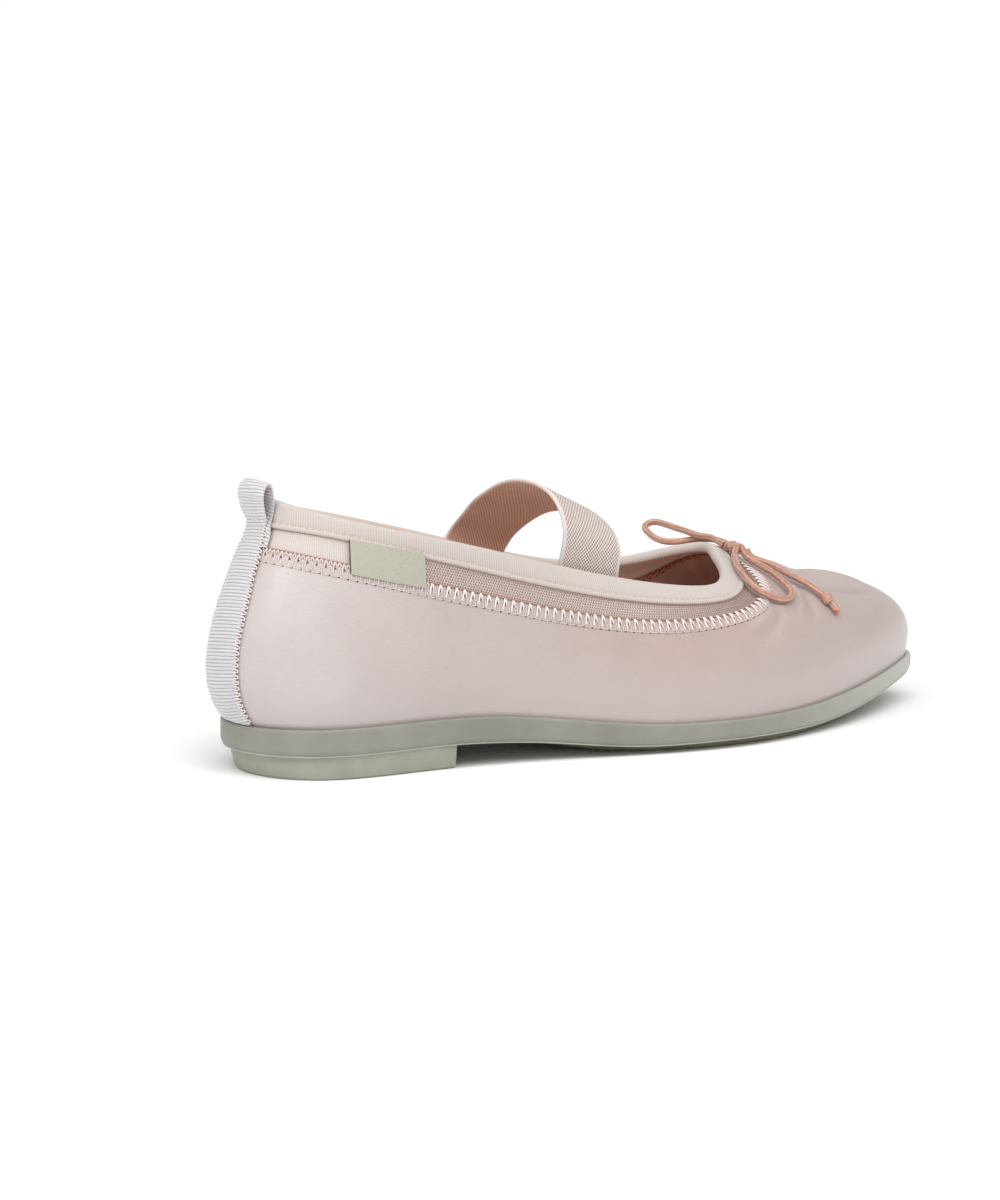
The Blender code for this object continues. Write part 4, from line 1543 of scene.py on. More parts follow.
@dataclass
class Sole:
    """The moulded rubber sole: cupped outsole, heel block and forefoot tread."""

    last: Last
    columns: int = 288
    heel_breast: float = 61.7
    tread_rear: float = 98.0
    tread_front: float = 234.0
    tread_inset: float = 4.6
    tread_flat: float = 150.0
    rand: Rubber = Rubber("sage_rubber", "84847a", "909086", "b9bab2")
    block: Rubber = Rubber("sage_rubber_heel", "959688", "a2a395", "aba892")
    # The tread: the same sage rubber painted browner and darker, as painted warm shade under the
    # foot.
    under: Rubber = Rubber("sage_rubber_tread_shade", "857f6a", "938d78", "a29c86", roughness=0.6)
    # The mould's parting line: a real bead, its paler colour a painted highlight along the rand's
    # lower edge.
    parting_highlight: Rubber = Rubber("sage_rubber_edge_highlight", "a3a599", "adafa3", "bbbcb2")

    def build_outsole(self) -> None:
        """Build the outsole: a shallow cup with a soft-edged rim round the upper."""
        last = self.last
        turns = np.arange(self.columns) * FULL / self.columns
        profile = (  # inset, the height that it is measured from, rise above it
            (30.0, last.underside, 0.0), (7.0, last.underside, 0.0),
            (1.9, last.underside, 0.0), (1.3, last.underside, 0.1),
            (0.8, last.underside, 0.32), (0.4, last.underside, 0.72),
            (0.12, last.underside, 1.3), (0.0, last.underside, 2.0),
            (0.0, last.rim_height, -2.6), (0.0, last.rim_height, -1.0),
            (0.08, last.rim_height, -0.45), (0.28, last.rim_height, -0.12),
            (0.6, last.rim_height, 0.0), (last.rim - 0.35, last.rim_height, 0.0),
            (last.rim - 0.1, last.rim_height, -0.1), (last.rim, last.rim_height, -0.4),
            (last.rim, last.floor_height, 0.0), (8.0, last.floor_height, 0.0),
        )
        rings = [last.world(last.ring(turns, inset, lambda x, of=of, rise=rise: of(x) + rise))
                 for inset, of, rise in profile]
        rings[0] = (rings[1] + np.roll(rings[1][::-1], 1, axis=0)) / 2 * 0.4 + rings[1] * 0.6
        piece = Bench.block("rubber_outsole", rings)
        Bench.finish(piece, self.rand.make(), "sage_rubber", ("outsole",))
        # A thin bead along the rand's lower edge, painted paler as a highlight on that edge.
        line = last.ring(np.linspace(0.0, FULL, 361), 0.85, lambda x: last.underside(x) + 0.2)
        Bench.sew("rubber_mould_line_highlight", [last.world(line)], 0.3, self.parting_highlight, "sage_rubber")

    def heel_ring(self, inset_rear: float, inset_side: float, height: float) -> Array:
        """Draw the heel block's outline at one height.

        Args:
            inset_rear: how far it is inset from the outsole's edge at the back.
            inset_side: how far it is inset at the breast.
            height: its height.

        Returns:
            The line from its lateral to its medial breast.
        """
        breast = math.degrees(math.acos(1 - 2 * self.heel_breast / LENGTH))
        turns = -breast * np.linspace(-1.0, 1.0, 97)
        out = self.last.outward(turns)
        inset = inset_side + (inset_rear - inset_side) * np.maximum(0.0, -out[:, 0]) ** 2
        plan = self.last.edge(turns) - inset[:, None] * out
        plan[:, 0] = np.minimum(plan[:, 0], self.heel_breast)
        return np.column_stack((plan, np.full(len(turns), height)))

    def build_heel(self) -> None:
        """Build the heel block, its lower edge eased."""
        profile = ((5.4, 3.2, 0.0), (4.85, 2.6, 0.28), (4.4, 2.2, 0.9), (3.6, 1.6, 4.2),
                   (3.0, 1.3, HEEL_HEIGHT - 0.02))  # inset at the rear and the side, height
        rows = [self.heel_ring(*row) for row in profile]
        mids = [(row + row[::-1]) / 2 for row in (rows[0], rows[-1])]
        grid = self.last.world(np.array([mids[0], *rows, mids[1]]).swapaxes(0, 1))
        grid = np.concatenate((grid, grid[:1]))
        piece = Bench.sheet("rubber_heel", grid, grid[..., :2] / MM)
        Bench.finish(piece, self.block.make(), "sage_rubber", ("heel",))

    def tread_ring(self, inset: float, height: Curve) -> Array:
        """Draw the forefoot tread's outline, with rounded ends.

        Args:
            inset: how far it is inset from the tread's own edge.
            height: its height as a function of x.

        Returns:
            The closed line.
        """
        middle = (self.tread_rear + self.tread_front) / 2
        half = (self.tread_front - self.tread_rear) / 2 - inset
        angles = 2 * math.pi * np.arange(192) / 192
        across = middle - half * np.cos(angles)
        turns = np.degrees(np.arccos(1 - 2 * across / LENGTH))
        lateral = self.last.side(turns) + self.tread_inset + inset
        medial = self.last.side(FULL - turns) - self.tread_inset - inset
        width = (medial - lateral) / 2 * np.abs(np.sin(angles)) ** 0.5
        side = np.where(angles <= math.pi, -1.0, 1.0)
        return np.column_stack((across, (lateral + medial) / 2 + side * width, height(across)))

    def build_tread(self) -> None:
        """Build the forefoot tread, with its lower edge eased."""
        under = self.last.underside
        low = float(under(self.tread_flat))

        def bottom(x: Array) -> Array:
            """Return the tread's lower face at x."""
            return np.maximum(0.0, under(x) - low)

        rings = [self.tread_ring(0.8, bottom), self.tread_ring(0.28, lambda x: bottom(x) + 0.2),
                 self.tread_ring(0.0, lambda x: bottom(x) + 0.6),
                 self.tread_ring(0.0, lambda x: under(x) - 0.02)]
        piece = Bench.block("rubber_forefoot_tread", [self.last.world(r) for r in rings])
        Bench.finish(piece, self.under.make(), "sage_rubber", ("forefoot_tread",))

    def build(self) -> None:
        """Build the sole's three pieces."""
        self.build_outsole()
        self.build_heel()
        self.build_tread()


# ---- upper -------------------------------------------------------------------------------------

@dataclass
class Upper:
    """The satin upper with its knitted band, lining and insole."""

    last: Last
    folds: Folds
    columns: int = 480
    satin_thick: float = 0.8
    band_thick: float = 0.5
    knit_end: float = 38.0
    sag: float = 0.1
    satin: Satin = Satin()
    knit: Cloth = Cloth("cream_rib_knit", Weave.RIB_KNIT, "c3b4ac", "d3ccc8", pitch=0.7, depth=0.08)
    net: Cloth = Cloth("taupe_net", Weave.NET, "7f6b64", "c8b8b1", pitch=0.88, depth=0.16,
                       front="d8ccc9")
    inside: Cloth = Cloth("rose_lining", Weave.BRUSHED, "c5a294", "dab9ab", depth=0.05, sheen=0.2)
    inner_tape: Cloth = Cloth("pale_inner_tape", Weave.RIB_KNIT, "d2b8ac", "ecdad0", pitch=0.9,
                              depth=0.05)
    sock: Cloth = Cloth("foam_lining", Weave.BRUSHED, "c39f93", "d3b3a7", depth=0.08, sheen=0.3)

    def turns(self) -> Array:
        """Return the turns of the sections, all the way round."""
        return np.linspace(0.0, FULL, self.columns + 1)

    def measures(self, turns: Array, drops: Array) -> Array:
        """Return distances round the shoe and down from the satin's edge, in millimetres."""
        edge = self.last.satin_drop(turns)
        return pairs(self.last.run(turns, edge)[:, None], drops - edge[:, None])

    def build_satin(self) -> None:
        """Build the satin, rolled in under the stitches and tucked into the sole's rim."""
        last, turns = self.last, self.turns()
        top, foot = last.satin_drop(turns)[:, None], last.wall_length(turns)[:, None]
        shares = np.concatenate((np.linspace(0.0, 0.03, 5), np.linspace(0.045, 1.0, 62)))
        drops = top + (foot - top) * shares
        lifts = self.folds.lift(turns[:, None], drops)
        lifts = lifts - 0.45 * (1.0 - ease((drops - top) / 0.9))
        lifts = lifts + 0.26 * ease((drops - foot + 4.0) / 4.0)
        depths = (1.2, 3.0)
        faces = []
        for rises, insets in ((lifts, (-0.26, 0.0)),
                              (np.minimum(lifts, 0.0) - self.satin_thick,
                               (self.satin_thick, self.satin_thick))):
            tucks = [last.ring(turns, last.rim + last.gap + inset,
                               lambda x, deep=deep: last.rim_height(x) - deep)
                     for inset, deep in zip(insets, depths)]
            wall = last.skin(turns[:, None], drops, rises)
            faces.append(last.world(np.concatenate((wall, np.stack(tucks, axis=1)), axis=1)))
        spread = self.measures(turns, np.concatenate((drops, foot + depths), axis=1))
        piece = Bench.slab("satin_upper", *faces, spread, wrap=True)
        Bench.finish(piece, self.satin.make(), "pink_satin", ("upper",))

    def build_band(self, name: str, start: float, end: float, cloth: Cloth) -> None:
        """Build a stretch of the knitted band between the binding and the satin.

        Args:
            name: the piece's name.
            start: the turn that it starts at.
            end: the turn that it ends at, larger than the start.
            cloth: what it is knitted from.
        """
        last = self.last
        turns = np.linspace(start, end, max(24, round((end - start) * 1.5)))
        top = last.binding_drop(turns)[:, None] - 1.4
        foot = last.satin_drop(turns)[:, None] + 1.6
        shares = np.linspace(0.0, 1.0, 11)
        drops = top + (foot - top) * shares
        lifts = -last.band_step - self.sag * np.sin(math.pi * shares)
        outer, inner = (last.spots(turns[:, None], drops, lifts - deep)
                        for deep in (0.0, self.band_thick))
        piece = Bench.slab(name, outer, inner, self.measures(turns, drops))
        Bench.finish(piece, cloth.make(), "knit_tape")

    def build_lining(self) -> None:
        """Build the lining down the inside of the wall, and the tape that covers its top."""
        last, turns = self.last, self.turns()
        binding = last.binding_drop(turns)[:, None]
        foot = last.wall_length(turns)[:, None] - 0.4
        drops = binding - 1.0 + (foot - binding + 1.0) * np.linspace(0.0, 1.0, 41)
        sink = np.minimum(0.0, self.folds.lift(turns[:, None], drops) + 0.25)
        faces = []
        for lift in (-1.15, -last.wall):
            wall = last.skin(turns[:, None], drops, lift + sink)
            inset = last.rim + last.gap - lift
            tuck = last.ring(turns, inset, lambda x: last.floor_height(x) + last.gap)
            faces.append(last.world(np.concatenate((wall, tuck[:, None]), axis=1)))
        spread = self.measures(turns, np.concatenate((drops, foot + 8.0), axis=1))
        piece = Bench.slab("inner_lining", *faces, spread, wrap=True)
        Bench.finish(piece, self.inside.make(), "foam_lining")
        satin = last.satin_drop(turns)[:, None]
        drops = binding - 0.8 + (satin - binding - 0.6) * np.linspace(0.0, 1.0, 7)
        faces = [last.spots(turns[:, None], drops, lift) for lift in (-1.62, -2.0)]
        piece = Bench.slab("inner_tape", *faces, self.measures(turns, drops), wrap=True)
        Bench.finish(piece, self.inner_tape.make(), "knit_tape")

    def build_insole(self) -> None:
        """Build the insole, its edge eased against the lining."""
        last = self.last
        turns = np.arange(240) * FULL / 240
        edge = last.rim + last.gap + last.wall + last.gap
        profile = ((edge + 0.9, 0.3), (edge + 0.3, 0.6), (edge, 1.2), (edge, 2.4),
                   (edge + 0.3, 3.0), (edge + 0.9, 3.25), (edge + 3.0, 3.3))
        rings = [last.world(last.ring(turns, inset, lambda x, r=rise: last.floor_height(x) + r))
                 for inset, rise in profile]
        piece = Bench.block("sock_insole", rings)
        Bench.finish(piece, self.sock.make(), "foam_lining", ("insole",))

    def build(self) -> None:
        """Build the upper's pieces."""
        self.build_satin()
        self.build_band("knit_band_heel", -self.knit_end, self.knit_end, self.knit)
        self.build_band("net_band_throat", self.knit_end, FULL - self.knit_end, self.net)
        self.build_lining()
        self.build_insole()


@dataclass
class Binding:
    """The knitted binding, folded over the topline, with its running stitch."""

    last: Last
    columns: int = 480
    top_half: float = 1.65
    middle_lift: float = -1.05
    stitch_rise: float = 1.7
    stitch_pitch: float = 2.2
    stitch_length: float = 1.4
    thread: float = 0.26
    cloth: Cloth = Cloth("knit_tape", Weave.RIB_KNIT, "bbada6", "ccc5bf", pitch=0.8, depth=0.05)
    sewing: Strand = sewing_thread("salmon_thread", "cda79b", "dcbfb5", lay=1.5, depth=0.03)
    # A brown strand in the gap along the binding's lower edge: painted shade, the thin line of
    # shade under that edge.
    edging: Strand = sewing_thread("brown_edge_shade_line", "a5796a", "bb9384", lay=1.5, depth=0.02)
    # The binding's inner leg: the same tape painted tan, as painted shade with the warm cast it
    # takes inside the shoe.
    inner: Cloth = Cloth("knit_tape_painted_shade", Weave.RIB_KNIT, "c6ac9c", "dcc7b8", pitch=0.8, depth=0.05)

    def section(self, binding: float) -> list[tuple[float, float]]:
        """Draw the binding's section.

        Args:
            binding: the drop of its lower edge.

        Returns:
            The drop and lift of its places, from its outer foot over to its inner foot.
        """
        seam = binding - self.stitch_rise
        top, half, mid = 1.25, self.top_half, self.middle_lift
        arch = [(top - top * math.sin(angle), mid + half * math.cos(angle))
                for angle in np.linspace(0.12, math.pi - 0.12, 13)]
        outer = [(binding - 0.3, -0.55), (binding - 0.04, -0.4), (binding + 0.04, -0.1),
                 (binding - 0.08, 0.16), (binding - 0.4, 0.36), (binding - 0.8, 0.42),
                 (binding - 1.15, 0.36), (seam + 0.25, 0.24), (seam, 0.14), (seam - 0.3, 0.24),
                 (seam - 0.9, 0.42), (seam - 2.0, 0.56), (top + 0.9, 0.61)]
        inner = [(top + 0.9, 2 * mid - 0.61), (seam - 1.0, -2.58), (seam - 0.4, -2.5),
                 (seam, -2.42), (seam + 0.4, -2.5), (binding - 0.7, -2.62),
                 (binding - 0.1, -2.5), (binding, -2.2), (binding - 0.2, -1.95)]
        return outer + arch + inner + [(top + 0.2, -1.9), (top + 0.2, -0.3)]

    def build(self) -> None:
        """Build the binding and the stitches that hold it."""
        last = self.last
        turns = np.linspace(0.0, FULL, self.columns + 1)
        places = np.array([self.section(drop) for drop in last.binding_drop(turns)])
        rings = last.skin(turns[:, None], places[..., 0], places[..., 1])
        run = last.run(turns, last.binding_drop(turns))
        across = along_points(np.column_stack((places[0], np.zeros(len(places[0])))))
        piece = Bench.hoop("knit_binding", last.world(rings), pairs(run[:, None], across))
        for cloth in (self.cloth, self.inner):
            piece.data.materials.append(cloth.make())
        # Faces on the inner leg take the tape's painted-shade copy.
        inner_from, inner_to = across[22], across[-3]
        measures = piece.data.uv_layers.active.data
        for face in piece.data.polygons:
            place = np.mean([measures[corner].uv[1] for corner in face.loop_indices])
            face.material_index = int(inner_from < place < inner_to)
        Bench.finish(piece, piece.data.materials[0], "knit_tape", ("topline_binding",))
        self.build_stitches()
        # Painted shade: a brown strand tucked along the binding's lower edge.
        edge = last.skin(turns, last.binding_drop(turns) + 0.1, -0.46)
        Bench.sew("binding_edge_shade_line", [last.world(edge)], 0.16, self.edging, "knit_tape")

    def build_stitches(self) -> None:
        """Build the running stitch above the binding's lower edge."""
        last = self.last

        def row(turns: Array) -> Array:
            """Return the drop of the row of stitches."""
            return last.binding_drop(turns) - self.stitch_rise

        turns = last.march(row, self.stitch_pitch)
        span = self.stitch_length / self.stitch_pitch
        shares = np.array((0.0, 0.12, 0.5, 0.88, 1.0)) * span
        lifts = np.array((0.0, 0.2, 0.26, 0.2, 0.0))
        at = turns[:-1, None] + np.diff(turns)[:, None] * shares
        lines = last.spots(at, row(at), lifts)
        Bench.sew("binding_stitches", lines, self.thread / 2, self.sewing, "knit_tape")


@dataclass
class CoverSeam:
    """The cover seam over the satin's edge: upright thread loops over a row of needle holes."""

    last: Last
    pitch: float = 2.8
    above: float = -0.5
    below: float = 3.6
    thread: float = 0.46
    dull_to: float = 54.0
    sewing: Strand = sewing_thread("pale_pink_thread", "e6d5d0", "fcf8f6")
    dull_sewing: Strand = sewing_thread("dull_pink_thread", "c6b1ab", "e4d8d4")
    under_sewing: Strand = sewing_thread("rose_thread", "c3afa9", "e0d3cf")
    edging: Strand = sewing_thread("rust_edge_thread", "b88a7c", "d0a598", depth=0.03)
    # Needle holes' colour: painted shade inside each hole.
    hole: Plain = Plain("needle_hole_shade", "5c3d37", "744f47", roughness=0.9)
    inner_sewing: Strand = sewing_thread("russet_thread", "a8643f", "d08f6c")

    def row(self, below_edge: float) -> Curve:
        """Return the drop of a line that runs below the satin's edge."""
        return lambda turns: self.last.satin_drop(turns) + below_edge

    def threads(self, name: str, shares: Sequence[float], depths: Sequence[float],
                lifts: Sequence[float], sewing: Strand, size: float,
                bend: float = 0.05, span: tuple[float, float] = (0.0, 180.0)) -> None:
        """Build one thread of the seam, repeated all the way round.

        Args:
            name: the piece's name.
            shares: how far along its pitch each of its places is.
            depths: how far each place is below the satin's edge.
            lifts: how far each place stands out.
            sewing: the thread's finish.
            size: the thread's diameter.
            bend: how much the stitches differ, in millimetres.
            span: where the thread starts and stops, in degrees from the back of the heel.
        """
        last = self.last
        turns = last.march(self.row(2.0), self.pitch)
        step = np.diff(turns)[:, None]
        uneven = np.sin(np.arange(len(step)) * 12.9898 + size * 78.2)[:, None]
        at = turns[:-1, None] + step * (np.array(shares) + bend * uneven)
        away = np.abs((turns[:-1] + 180.0) % FULL - 180.0)
        sewn = (away >= span[0]) & (away <= span[1])
        at, uneven = at[sewn], uneven[sewn]
        drops = last.satin_drop(at) + np.array(depths) + bend * 2.0 * uneven[::-1]
        places = last.skin(at, drops, np.array(lifts))
        lines = [last.world(smooth_line(line, 0.32)) for line in places]
        Bench.sew(name, lines, size / 2, sewing, "knit_tape")

    def build(self) -> None:
        """Build the seam's threads and its needle holes."""
        top, foot = self.above, self.below
        for name, sewing, span in (("seam_loops", self.sewing, (self.dull_to, 180.0)),
                                   ("seam_heel_loops", self.dull_sewing, (0.0, self.dull_to))):
            self.threads(name, (-0.29, -0.24, -0.16, -0.07, 0.0, 0.08, 0.15, 0.19),
                         (foot - 0.7, foot - 1.6, foot - 2.7, top + 0.5, top, top + 0.4,
                          top + 1.2, top + 2.1), (-0.05, 0.22, 0.3, 0.28, 0.1, 0.28, 0.24, -0.05),
                         sewing, self.thread, span=span)
        self.threads("seam_rear_loops", (0.34, 0.42, 0.5, 0.58, 0.66),
                     (top + 1.2, top + 0.25, top, top + 0.25, top + 1.2),
                     (0.0, 0.16, 0.2, 0.16, 0.0), self.dull_sewing, self.thread,
                     span=(0.0, self.dull_to))
        for index, (share, head) in enumerate(((0.26, 2.2), (0.5, 1.6), (0.74, 2.2))):
            self.threads(f"seam_fill_{index + 1}", (share + 0.05, share, share - 0.05),
                         (top + head, foot - 1.0, foot - 0.2), (0.0, 0.08, 0.0),
                         self.under_sewing, self.thread * 0.8, bend=0.09)
        self.threads("seam_foot_chain", (0.0, 0.25, 0.5, 0.75, 1.0),
                     (foot + 0.1, foot + 0.0, foot - 0.1, foot + 0.0, foot + 0.1),
                     (0.1, 0.14, 0.0, 0.14, 0.1), self.under_sewing, self.thread * 0.7)
        for name, share, depth in (("seam_foot_holes", 0.38, foot + 0.1),
                                   ("seam_top_holes", 0.02, top + 1.85)):
            self.holes(name, share, depth)
        turns = np.linspace(0.0, FULL, 721)
        edge = self.last.skin(turns, self.row(top - 0.3)(turns), -0.42)
        Bench.sew("satin_edge_thread", [self.last.world(edge)], 0.18, self.edging, "knit_tape")
        self.threads("inner_seam", (0.0, 0.3, 0.5, 0.7, 1.0), (3.4, 1.8, 0.0, 1.8, 3.4),
                     (-2.05, -2.25, -2.1, -2.25, -2.05), self.inner_sewing, 0.8)
        self.threads("inner_seam_loops", (0.25, 0.5, 0.75, 1.0, 1.25), (2.6, 0.9, 0.6, 0.9, 2.6),
                     (-2.1, -2.3, -2.15, -2.3, -2.1), self.inner_sewing, 0.7)

    def holes(self, name: str, share: float, depth: float, size: float = 0.6) -> None:
        """Build a row of needle holes, each a short dark plug: painted shade inside the hole.

        Args:
            name: the piece's name.
            share: how far along the pitch each hole is.
            depth: how far it is below the satin's edge.
            size: the holes' diameter.
        """
        last = self.last
        turns = last.march(self.row(2.0), self.pitch)
        at = (turns[:-1] + np.diff(turns) * share)[:, None]
        drops = last.satin_drop(at) + depth
        lines = last.spots(at, drops, np.array((-0.35, 0.16)))
        Bench.sew(name, lines, size / 2, self.hole, "pink_satin", sides=8)


# ---- straps and trims --------------------------------------------------------------------------

@dataclass
class Strap:
    """The elastic strap over the instep, its ends sewn inside the collar."""

    last: Last
    thick: float = 1.2
    tail: float = 16.0
    width: float = 21.0
    rounding: float = 0.4
    selvedge: float = 1.25
    groove: float = 0.09
    heart: tuple[float, float, float] = (104.0, 0.0, 48.0)
    outer: Cloth = Cloth("ribbed_elastic", Weave.ELASTIC, "8f776f", "e4dcd6", pitch=1.0, depth=0.1)
    # The inside face: the same elastic painted warmer and oranger, standing in for the warm bounce
    # light it gets in shade.
    inner: Cloth = Cloth("ribbed_elastic_painted_bounce", Weave.ELASTIC, "cf9f85", "f8dcc8", pitch=1.0,
                         depth=0.08)

    def path(self, count: int = 170) -> Array:
        """Draw the strap's rear and front edges.

        Args:
            count: the number of steps along it.

        Returns:
            A row for each step, with x, y and z of the rear edge and then of the front edge.
        """
        lift = -self.last.wall - 2 * self.last.gap - 0.7 - self.thick / 2
        tails = []
        for row, lateral, drift in ((STRAP_ARCH[0], True, 0.0), (STRAP_ARCH[-1], False, 0.3)):
            tails.append([np.concatenate([
                self.last.skin(self.last.turn_at(x - drift * (drop + 3.0), lateral, drop, lift),
                               drop, lift)
                for x in (row[0], row[3])]) for drop in (self.tail, self.tail / 2, 0.0)])
        rows = np.array(tails[0] + [np.array(row) for row in STRAP_ARCH] + tails[1][::-1])
        lengths = along_points(rows[:, :3])
        return spline(lengths, rows)(np.linspace(0.0, lengths[-1], count + 1))

    def build(self) -> None:
        """Build the strap, with a fine raised selvedge along each edge."""
        path = self.path()
        rear, front = path[:, :3], path[:, 3:]
        along = np.gradient(rear + front, axis=0)
        out = unit(np.cross(front - rear, along))[:, None]
        shares = np.concatenate(((0.0, 0.012, 0.03, 0.05), np.linspace(0.08, 0.92, 17),
                                 (0.95, 0.97, 0.988, 1.0)))
        edge = np.minimum(shares, 1.0 - shares) * self.width
        half = self.thick / 2 * np.clip(np.sqrt(edge / self.rounding + 0.12), 0.0, 1.0)
        half = half - self.groove * np.exp(-((edge - self.selvedge) / 0.3) ** 2)
        middle = rear[:, None] + (front - rear)[:, None] * shares[:, None]
        faces = [self.last.world(middle + sign * half[:, None] * out) for sign in (1.0, -1.0)]
        lengths = along_points((rear + front) / 2)
        spread = pairs(shares * self.width, lengths[:, None])
        piece = Bench.slab("elastic_strap", *faces, spread)
        for cloth in (self.outer, self.inner):
            piece.data.materials.append(cloth.make())
        self.paint_inside_warm_bounce(piece)
        Bench.finish(piece, piece.data.materials[0], "ribbed_elastic", ("instep_strap",))

    def paint_inside_warm_bounce(self, piece: Object) -> None:
        """Give the faces that look in towards the foot the strap's second material: the same
        elastic painted warmer, as painted warm bounce light on the shaded inside.

        Args:
            piece: the strap, with its outside finish first and its painted warm-bounce copy second.
        """
        heart = self.last.world(self.heart)
        for face in piece.data.polygons:
            if np.dot(face.normal, np.array(face.center) - heart) < 0.0:
                face.material_index = 1


@dataclass
class HeelRibbon:
    """The grosgrain ribbon up the back seam, folded over into a pull loop."""

    last: Last
    thick: float = 0.8
    foot_rise: float = 1.8
    pinch_drop: float = 9.0
    full_width: float = 18.4
    rib_pitch: float = 1.04
    rib_height: float = 0.2
    rib_slant: float = 2.4
    selvedge: float = 0.9
    picot_pitch: float = 1.7
    ribbon: Ribbon = Ribbon()
    picot: Strand = sewing_thread("picot_thread", "d9c0bb", "f6efed", lay=1.5, depth=0.03)

    def run(self) -> tuple[Curve, float, float]:
        """Lay the ribbon out along its length.

        Returns:
            Its drop, lift and width as a function of length, its length and that of its sewn
            part.
        """
        foot = float(self.last.wall_length(0.0)) - self.foot_rise
        widths = ((0.0, 18.4), (6.0, 18.8), (16.0, 18.6), (26.0, 17.6))
        rows = np.array([(foot - up, 1.1, width) for up, width in widths] + list(RIBBON_RUN))
        lengths = along_points(np.column_stack((rows[:, :2], np.zeros(len(rows)))))
        pinch = int(np.argmax(rows[:, 0] <= self.pinch_drop))
        return spline(lengths, rows), float(lengths[-1]), float(lengths[pinch])

    def places(self, rows: Array, normals: Array, shares: Array, lifts: Array) -> Array:
        """Return places on the ribbon.

        Args:
            rows: the drop, lift and width at each length.
            normals: the ribbon's outward direction there, in drop and lift.
            shares: places across it, from -0.5 to 0.5.
            lifts: how far out each place is from the ribbon's middle.

        Returns:
            The places, a row for each length, in metres.
        """
        drops = rows[:, None, 0] + lifts * normals[:, None, 0]
        out = rows[:, None, 1] + lifts * normals[:, None, 1]
        level = np.maximum(drops, 0.0)
        reach = (self.last.skin(4.0, level) - self.last.skin(-4.0, level))[..., 1]
        turns = -rows[:, None, 2] * shares * 8.0 / np.abs(reach)
        return self.last.spots(turns, drops, out)

    def build(self) -> None:
        """Build the ribbon with its ribs, its picots and the stitches that pinch the loop."""
        curve, length, sewn = self.run()
        at = np.linspace(0.0, length, round(length / 0.13))
        rows = curve(at)
        way = unit(np.gradient(rows[:, :2], axis=0))
        normals = np.column_stack((way[:, 1], -way[:, 0]))
        edge = self.selvedge / self.full_width
        shares = np.concatenate(((-0.5, -0.5 + edge * 0.5),
                                 np.linspace(-0.5 + edge, 0.5 - edge, 11),
                                 (0.5 - edge * 0.5, 0.5)))
        middle = self.places(rows, normals, shares, np.zeros((1, 1))) / MM
        spine = middle[:, len(shares) // 2]
        along = unit(np.gradient(spine, axis=0))
        square = np.einsum("ijk,ik->ij", middle - spine[:, None], along)
        slant = self.rib_slant * rows[:, 2:] * shares / self.full_width
        lengthways = at[:, None] + square + slant
        rib = np.abs(np.sin(math.pi * lengthways / self.rib_pitch)) ** 0.6
        flat = np.where(np.abs(shares) > 0.5 - edge * 0.8, 0.35, 1.0)
        bow = 1.0 - ease((at - sewn + 6.0) / 10.0)[:, None]
        crown = bow * (1.5 * (0.25 - shares ** 2) - 0.35)
        half = self.thick / 2 - self.rib_height + self.rib_height * rib * flat
        faces = [self.places(rows, normals, shares, crown + sign * half) for sign in (1.0, -1.0)]
        spread = pairs(shares * self.full_width, lengthways)
        piece = Bench.slab("grosgrain_ribbon", *faces, spread)
        Bench.finish(piece, self.ribbon.make(), "grosgrain", ("heel_ribbon",))
        self.build_picots(curve, sewn)

    def build_picots(self, curve: Curve, sewn: float) -> None:
        """Build the small thread loops along both edges of the sewn part.

        Args:
            curve: the ribbon's run.
            sewn: the length of its sewn part.
        """
        count = round(sewn / self.picot_pitch)
        lines = []
        for side in (-1.0, 1.0):
            for index in range(1, count):
                at = (index + np.array((-0.32, -0.3, -0.12, 0.12, 0.3, 0.32))) * self.picot_pitch
                rows = curve(at)
                reach = side * (0.5 + np.array((-0.4, 0.3, 0.8, 0.8, 0.3, -0.4)) / self.full_width)
                lifts = np.array((0.2, 0.05, -0.5, -0.5, 0.05, 0.2))
                normals = np.tile((0.0, 1.0), (len(at), 1))
                grid = self.places(rows, normals, reach, lifts)
                lines.append(np.array([grid[k, k] for k in range(len(at))]))
        pinch = curve(np.array((sewn + 0.6,)))
        for start in np.linspace(-0.44, 0.36, 5):
            shares = start + np.array((0.0, 0.02, 0.05, 0.08, 0.1))
            lifts = np.array((0.3, 0.55, 0.6, 0.55, 0.3))
            grid = self.places(pinch, np.array(((0.0, 1.0),)), shares, lifts)
            lines.append(grid[0])
        Bench.sew("ribbon_picots", lines, 0.2, self.picot, "grosgrain")


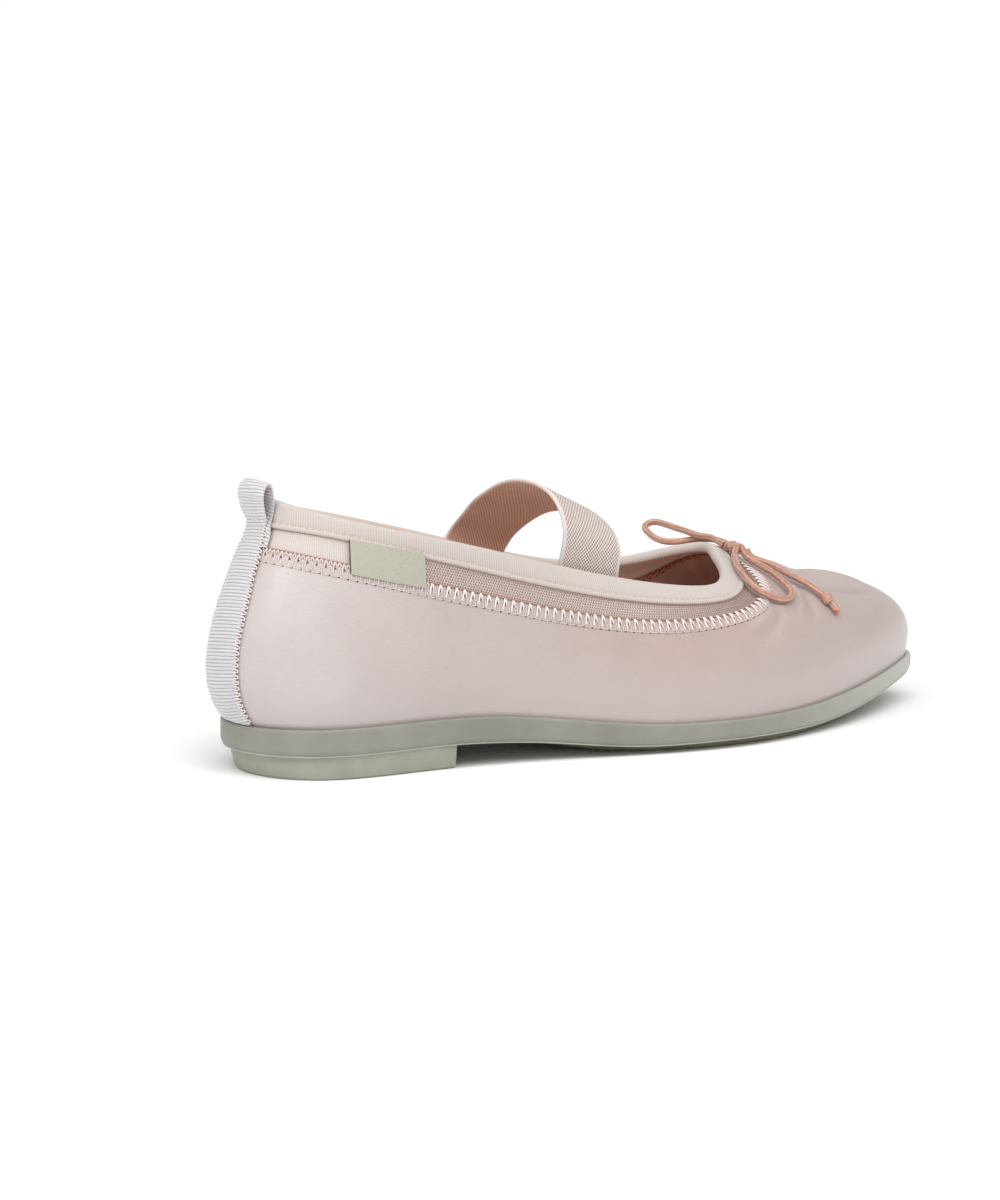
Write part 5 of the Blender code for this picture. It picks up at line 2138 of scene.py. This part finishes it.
@dataclass
class SideTag:
    """The woven side tag, left bare, sewn on under the binding."""

    last: Last
    start: float = 36.9
    end: float = 52.8
    top: float = 5.9
    foot: float = 16.1
    width: float = 24.0
    lift: float = 0.62
    thick: float = 0.55
    tape: Cloth = Cloth("woven_tag", Weave.TWILL_TAPE, "9f9c8a", "bfbcad", pitch=0.45,
                        depth=0.05, roughness=0.75)
    # Dark strand at the tag's folded edge: painted shade in the fold.
    fold: Strand = sewing_thread("tag_fold_shade", "4f4236", "6b5a4a", lay=1.5, depth=0.02)

    def build(self) -> None:
        """Build the tag and the dark strand along its folded edge, painted shade in the fold."""
        last = self.last
        shares = np.linspace(0.0, 1.0, 41)[:, None]
        turns = self.start + (self.end - self.start) * shares
        down = np.linspace(0.0, 1.0, 17)
        drops = self.top + (self.foot - self.top) * down - 0.3 * shares
        rounding = np.minimum(shares, 1.0 - shares) * self.width
        lifts = self.lift + 0.1 * np.sin(math.pi * down) + 0.12 * ease(rounding / 2.5)
        outer = last.spots(turns, drops, lifts)
        inner = last.spots(turns, drops, lifts - self.thick)
        piece = Bench.slab("side_tag", outer, inner, pairs(shares * self.width, drops))
        Bench.finish(piece, self.tape.make(), "knit_tape")
        drops = np.linspace(self.top + 0.2, self.foot - 0.1, 12)
        edge = last.spots(self.start - 0.16, drops, self.lift - 0.06)
        Bench.sew("tag_fold_shade_line", [edge], 0.2, self.fold, "knit_tape", sides=8)


# ---- studio ------------------------------------------------------------------------------------

@dataclass
class Studio:
    """A plain pale floor, soft light and the camera."""

    last: Last
    azimuth: float = -30.0
    elevation: float = 9.0
    lens: float = 134.22
    stand: tuple[float, float, float] = (-581.0, -1166.0, 258.0)
    room: float = 0.55
    daylight: float = 2.0
    softness: float = 56.0
    daylight_from: tuple[float, float, float] = (-0.3, -1.3, 2.3)
    key_stand: tuple[float, float, float] = (-1.4, -0.3, 1.3)
    key_size: float = 0.5
    key_power: float = 8.0

    def build_camera(self) -> None:
        """Add the camera, low behind the lateral side, looking forward over the shoe."""
        turn, rise = math.radians(-self.azimuth), math.radians(self.elevation)
        ahead = np.array((math.sin(turn) * math.cos(rise), math.cos(turn) * math.cos(rise),
                          -math.sin(rise)))
        right = np.array((math.cos(turn), -math.sin(turn), 0.0))
        axes = np.column_stack((right, np.cross(right, ahead), -ahead))
        data = bpy.data.cameras.new("camera")
        data.lens, data.sensor_fit, data.sensor_width = self.lens, "AUTO", 36.0
        data.clip_start, data.clip_end = 0.01, 30.0
        camera = Bench.place("camera", data)
        camera.matrix_world = placing(axes, self.last.world(self.stand))
        bpy.context.scene.camera = camera

    def build_light(self, name: str, kind: str, place: Sequence[float],
                    target: Sequence[float], **settings: object) -> None:
        """Add a light.

        Args:
            name: its name.
            kind: its type.
            place: where it stands, in metres.
            target: what it looks at, in metres.
            settings: its properties.
        """
        data = bpy.data.lights.new(name, kind)
        for key, value in settings.items():
            setattr(data, key, value)
        light = Bench.place(name, data)
        axes = frame_along(np.array(target) - np.array(place))
        axes = np.column_stack((axes[:, 1], axes[:, 2], -axes[:, 0]))
        light.matrix_world = placing(axes, place)

    def build_floor(self) -> None:
        """Add the floor: a plain pale sheet that runs out of sight."""
        bpy.ops.mesh.primitive_plane_add(size=90.0)
        floor = bpy.context.object
        floor.name = floor.data.name = "floor"
        recipe = Recipe("pale_floor", 0.9)
        recipe.set(Base_Color=(0.93, 0.93, 0.93, 1.0), Specular_IOR_Level=0.0)
        floor.data.materials.append(recipe.material)

    def build(self) -> None:
        """Light the shoe and set how its colours are shown."""
        world = bpy.data.worlds.new("soft_room")
        world.use_nodes = True
        background = world.node_tree.nodes["Background"]
        background.inputs[0].default_value = (1.0, 1.0, 1.0, 1.0)
        background.inputs[1].default_value = self.room
        bpy.context.scene.world = world
        bpy.context.scene.view_settings.view_transform = "Standard"
        self.build_floor()
        self.build_light("daylight", "SUN", self.daylight_from, (0.0, 0.0, 0.0),
                         energy=self.daylight, angle=math.radians(self.softness))
        self.build_light("key", "AREA", self.key_stand, (0.0, 0.0, 0.03), shape="SQUARE",
                         size=self.key_size, energy=self.key_power)


def main() -> None:
    """Build the shoe in order, on the frame that is loaded."""
    logging.basicConfig(level=logging.INFO, format="%(name)s: %(message)s")
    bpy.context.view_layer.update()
    last = Last.from_outsole()
    studio = Studio(last)
    studio.build_camera()
    for part in (Bow(last), Sole(last), Upper(last, Folds(last)), Binding(last),
                 CoverSeam(last), Strap(last), HeelRibbon(last), SideTag(last), studio):
        part.build()


if __name__ == "__main__":
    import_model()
    main()
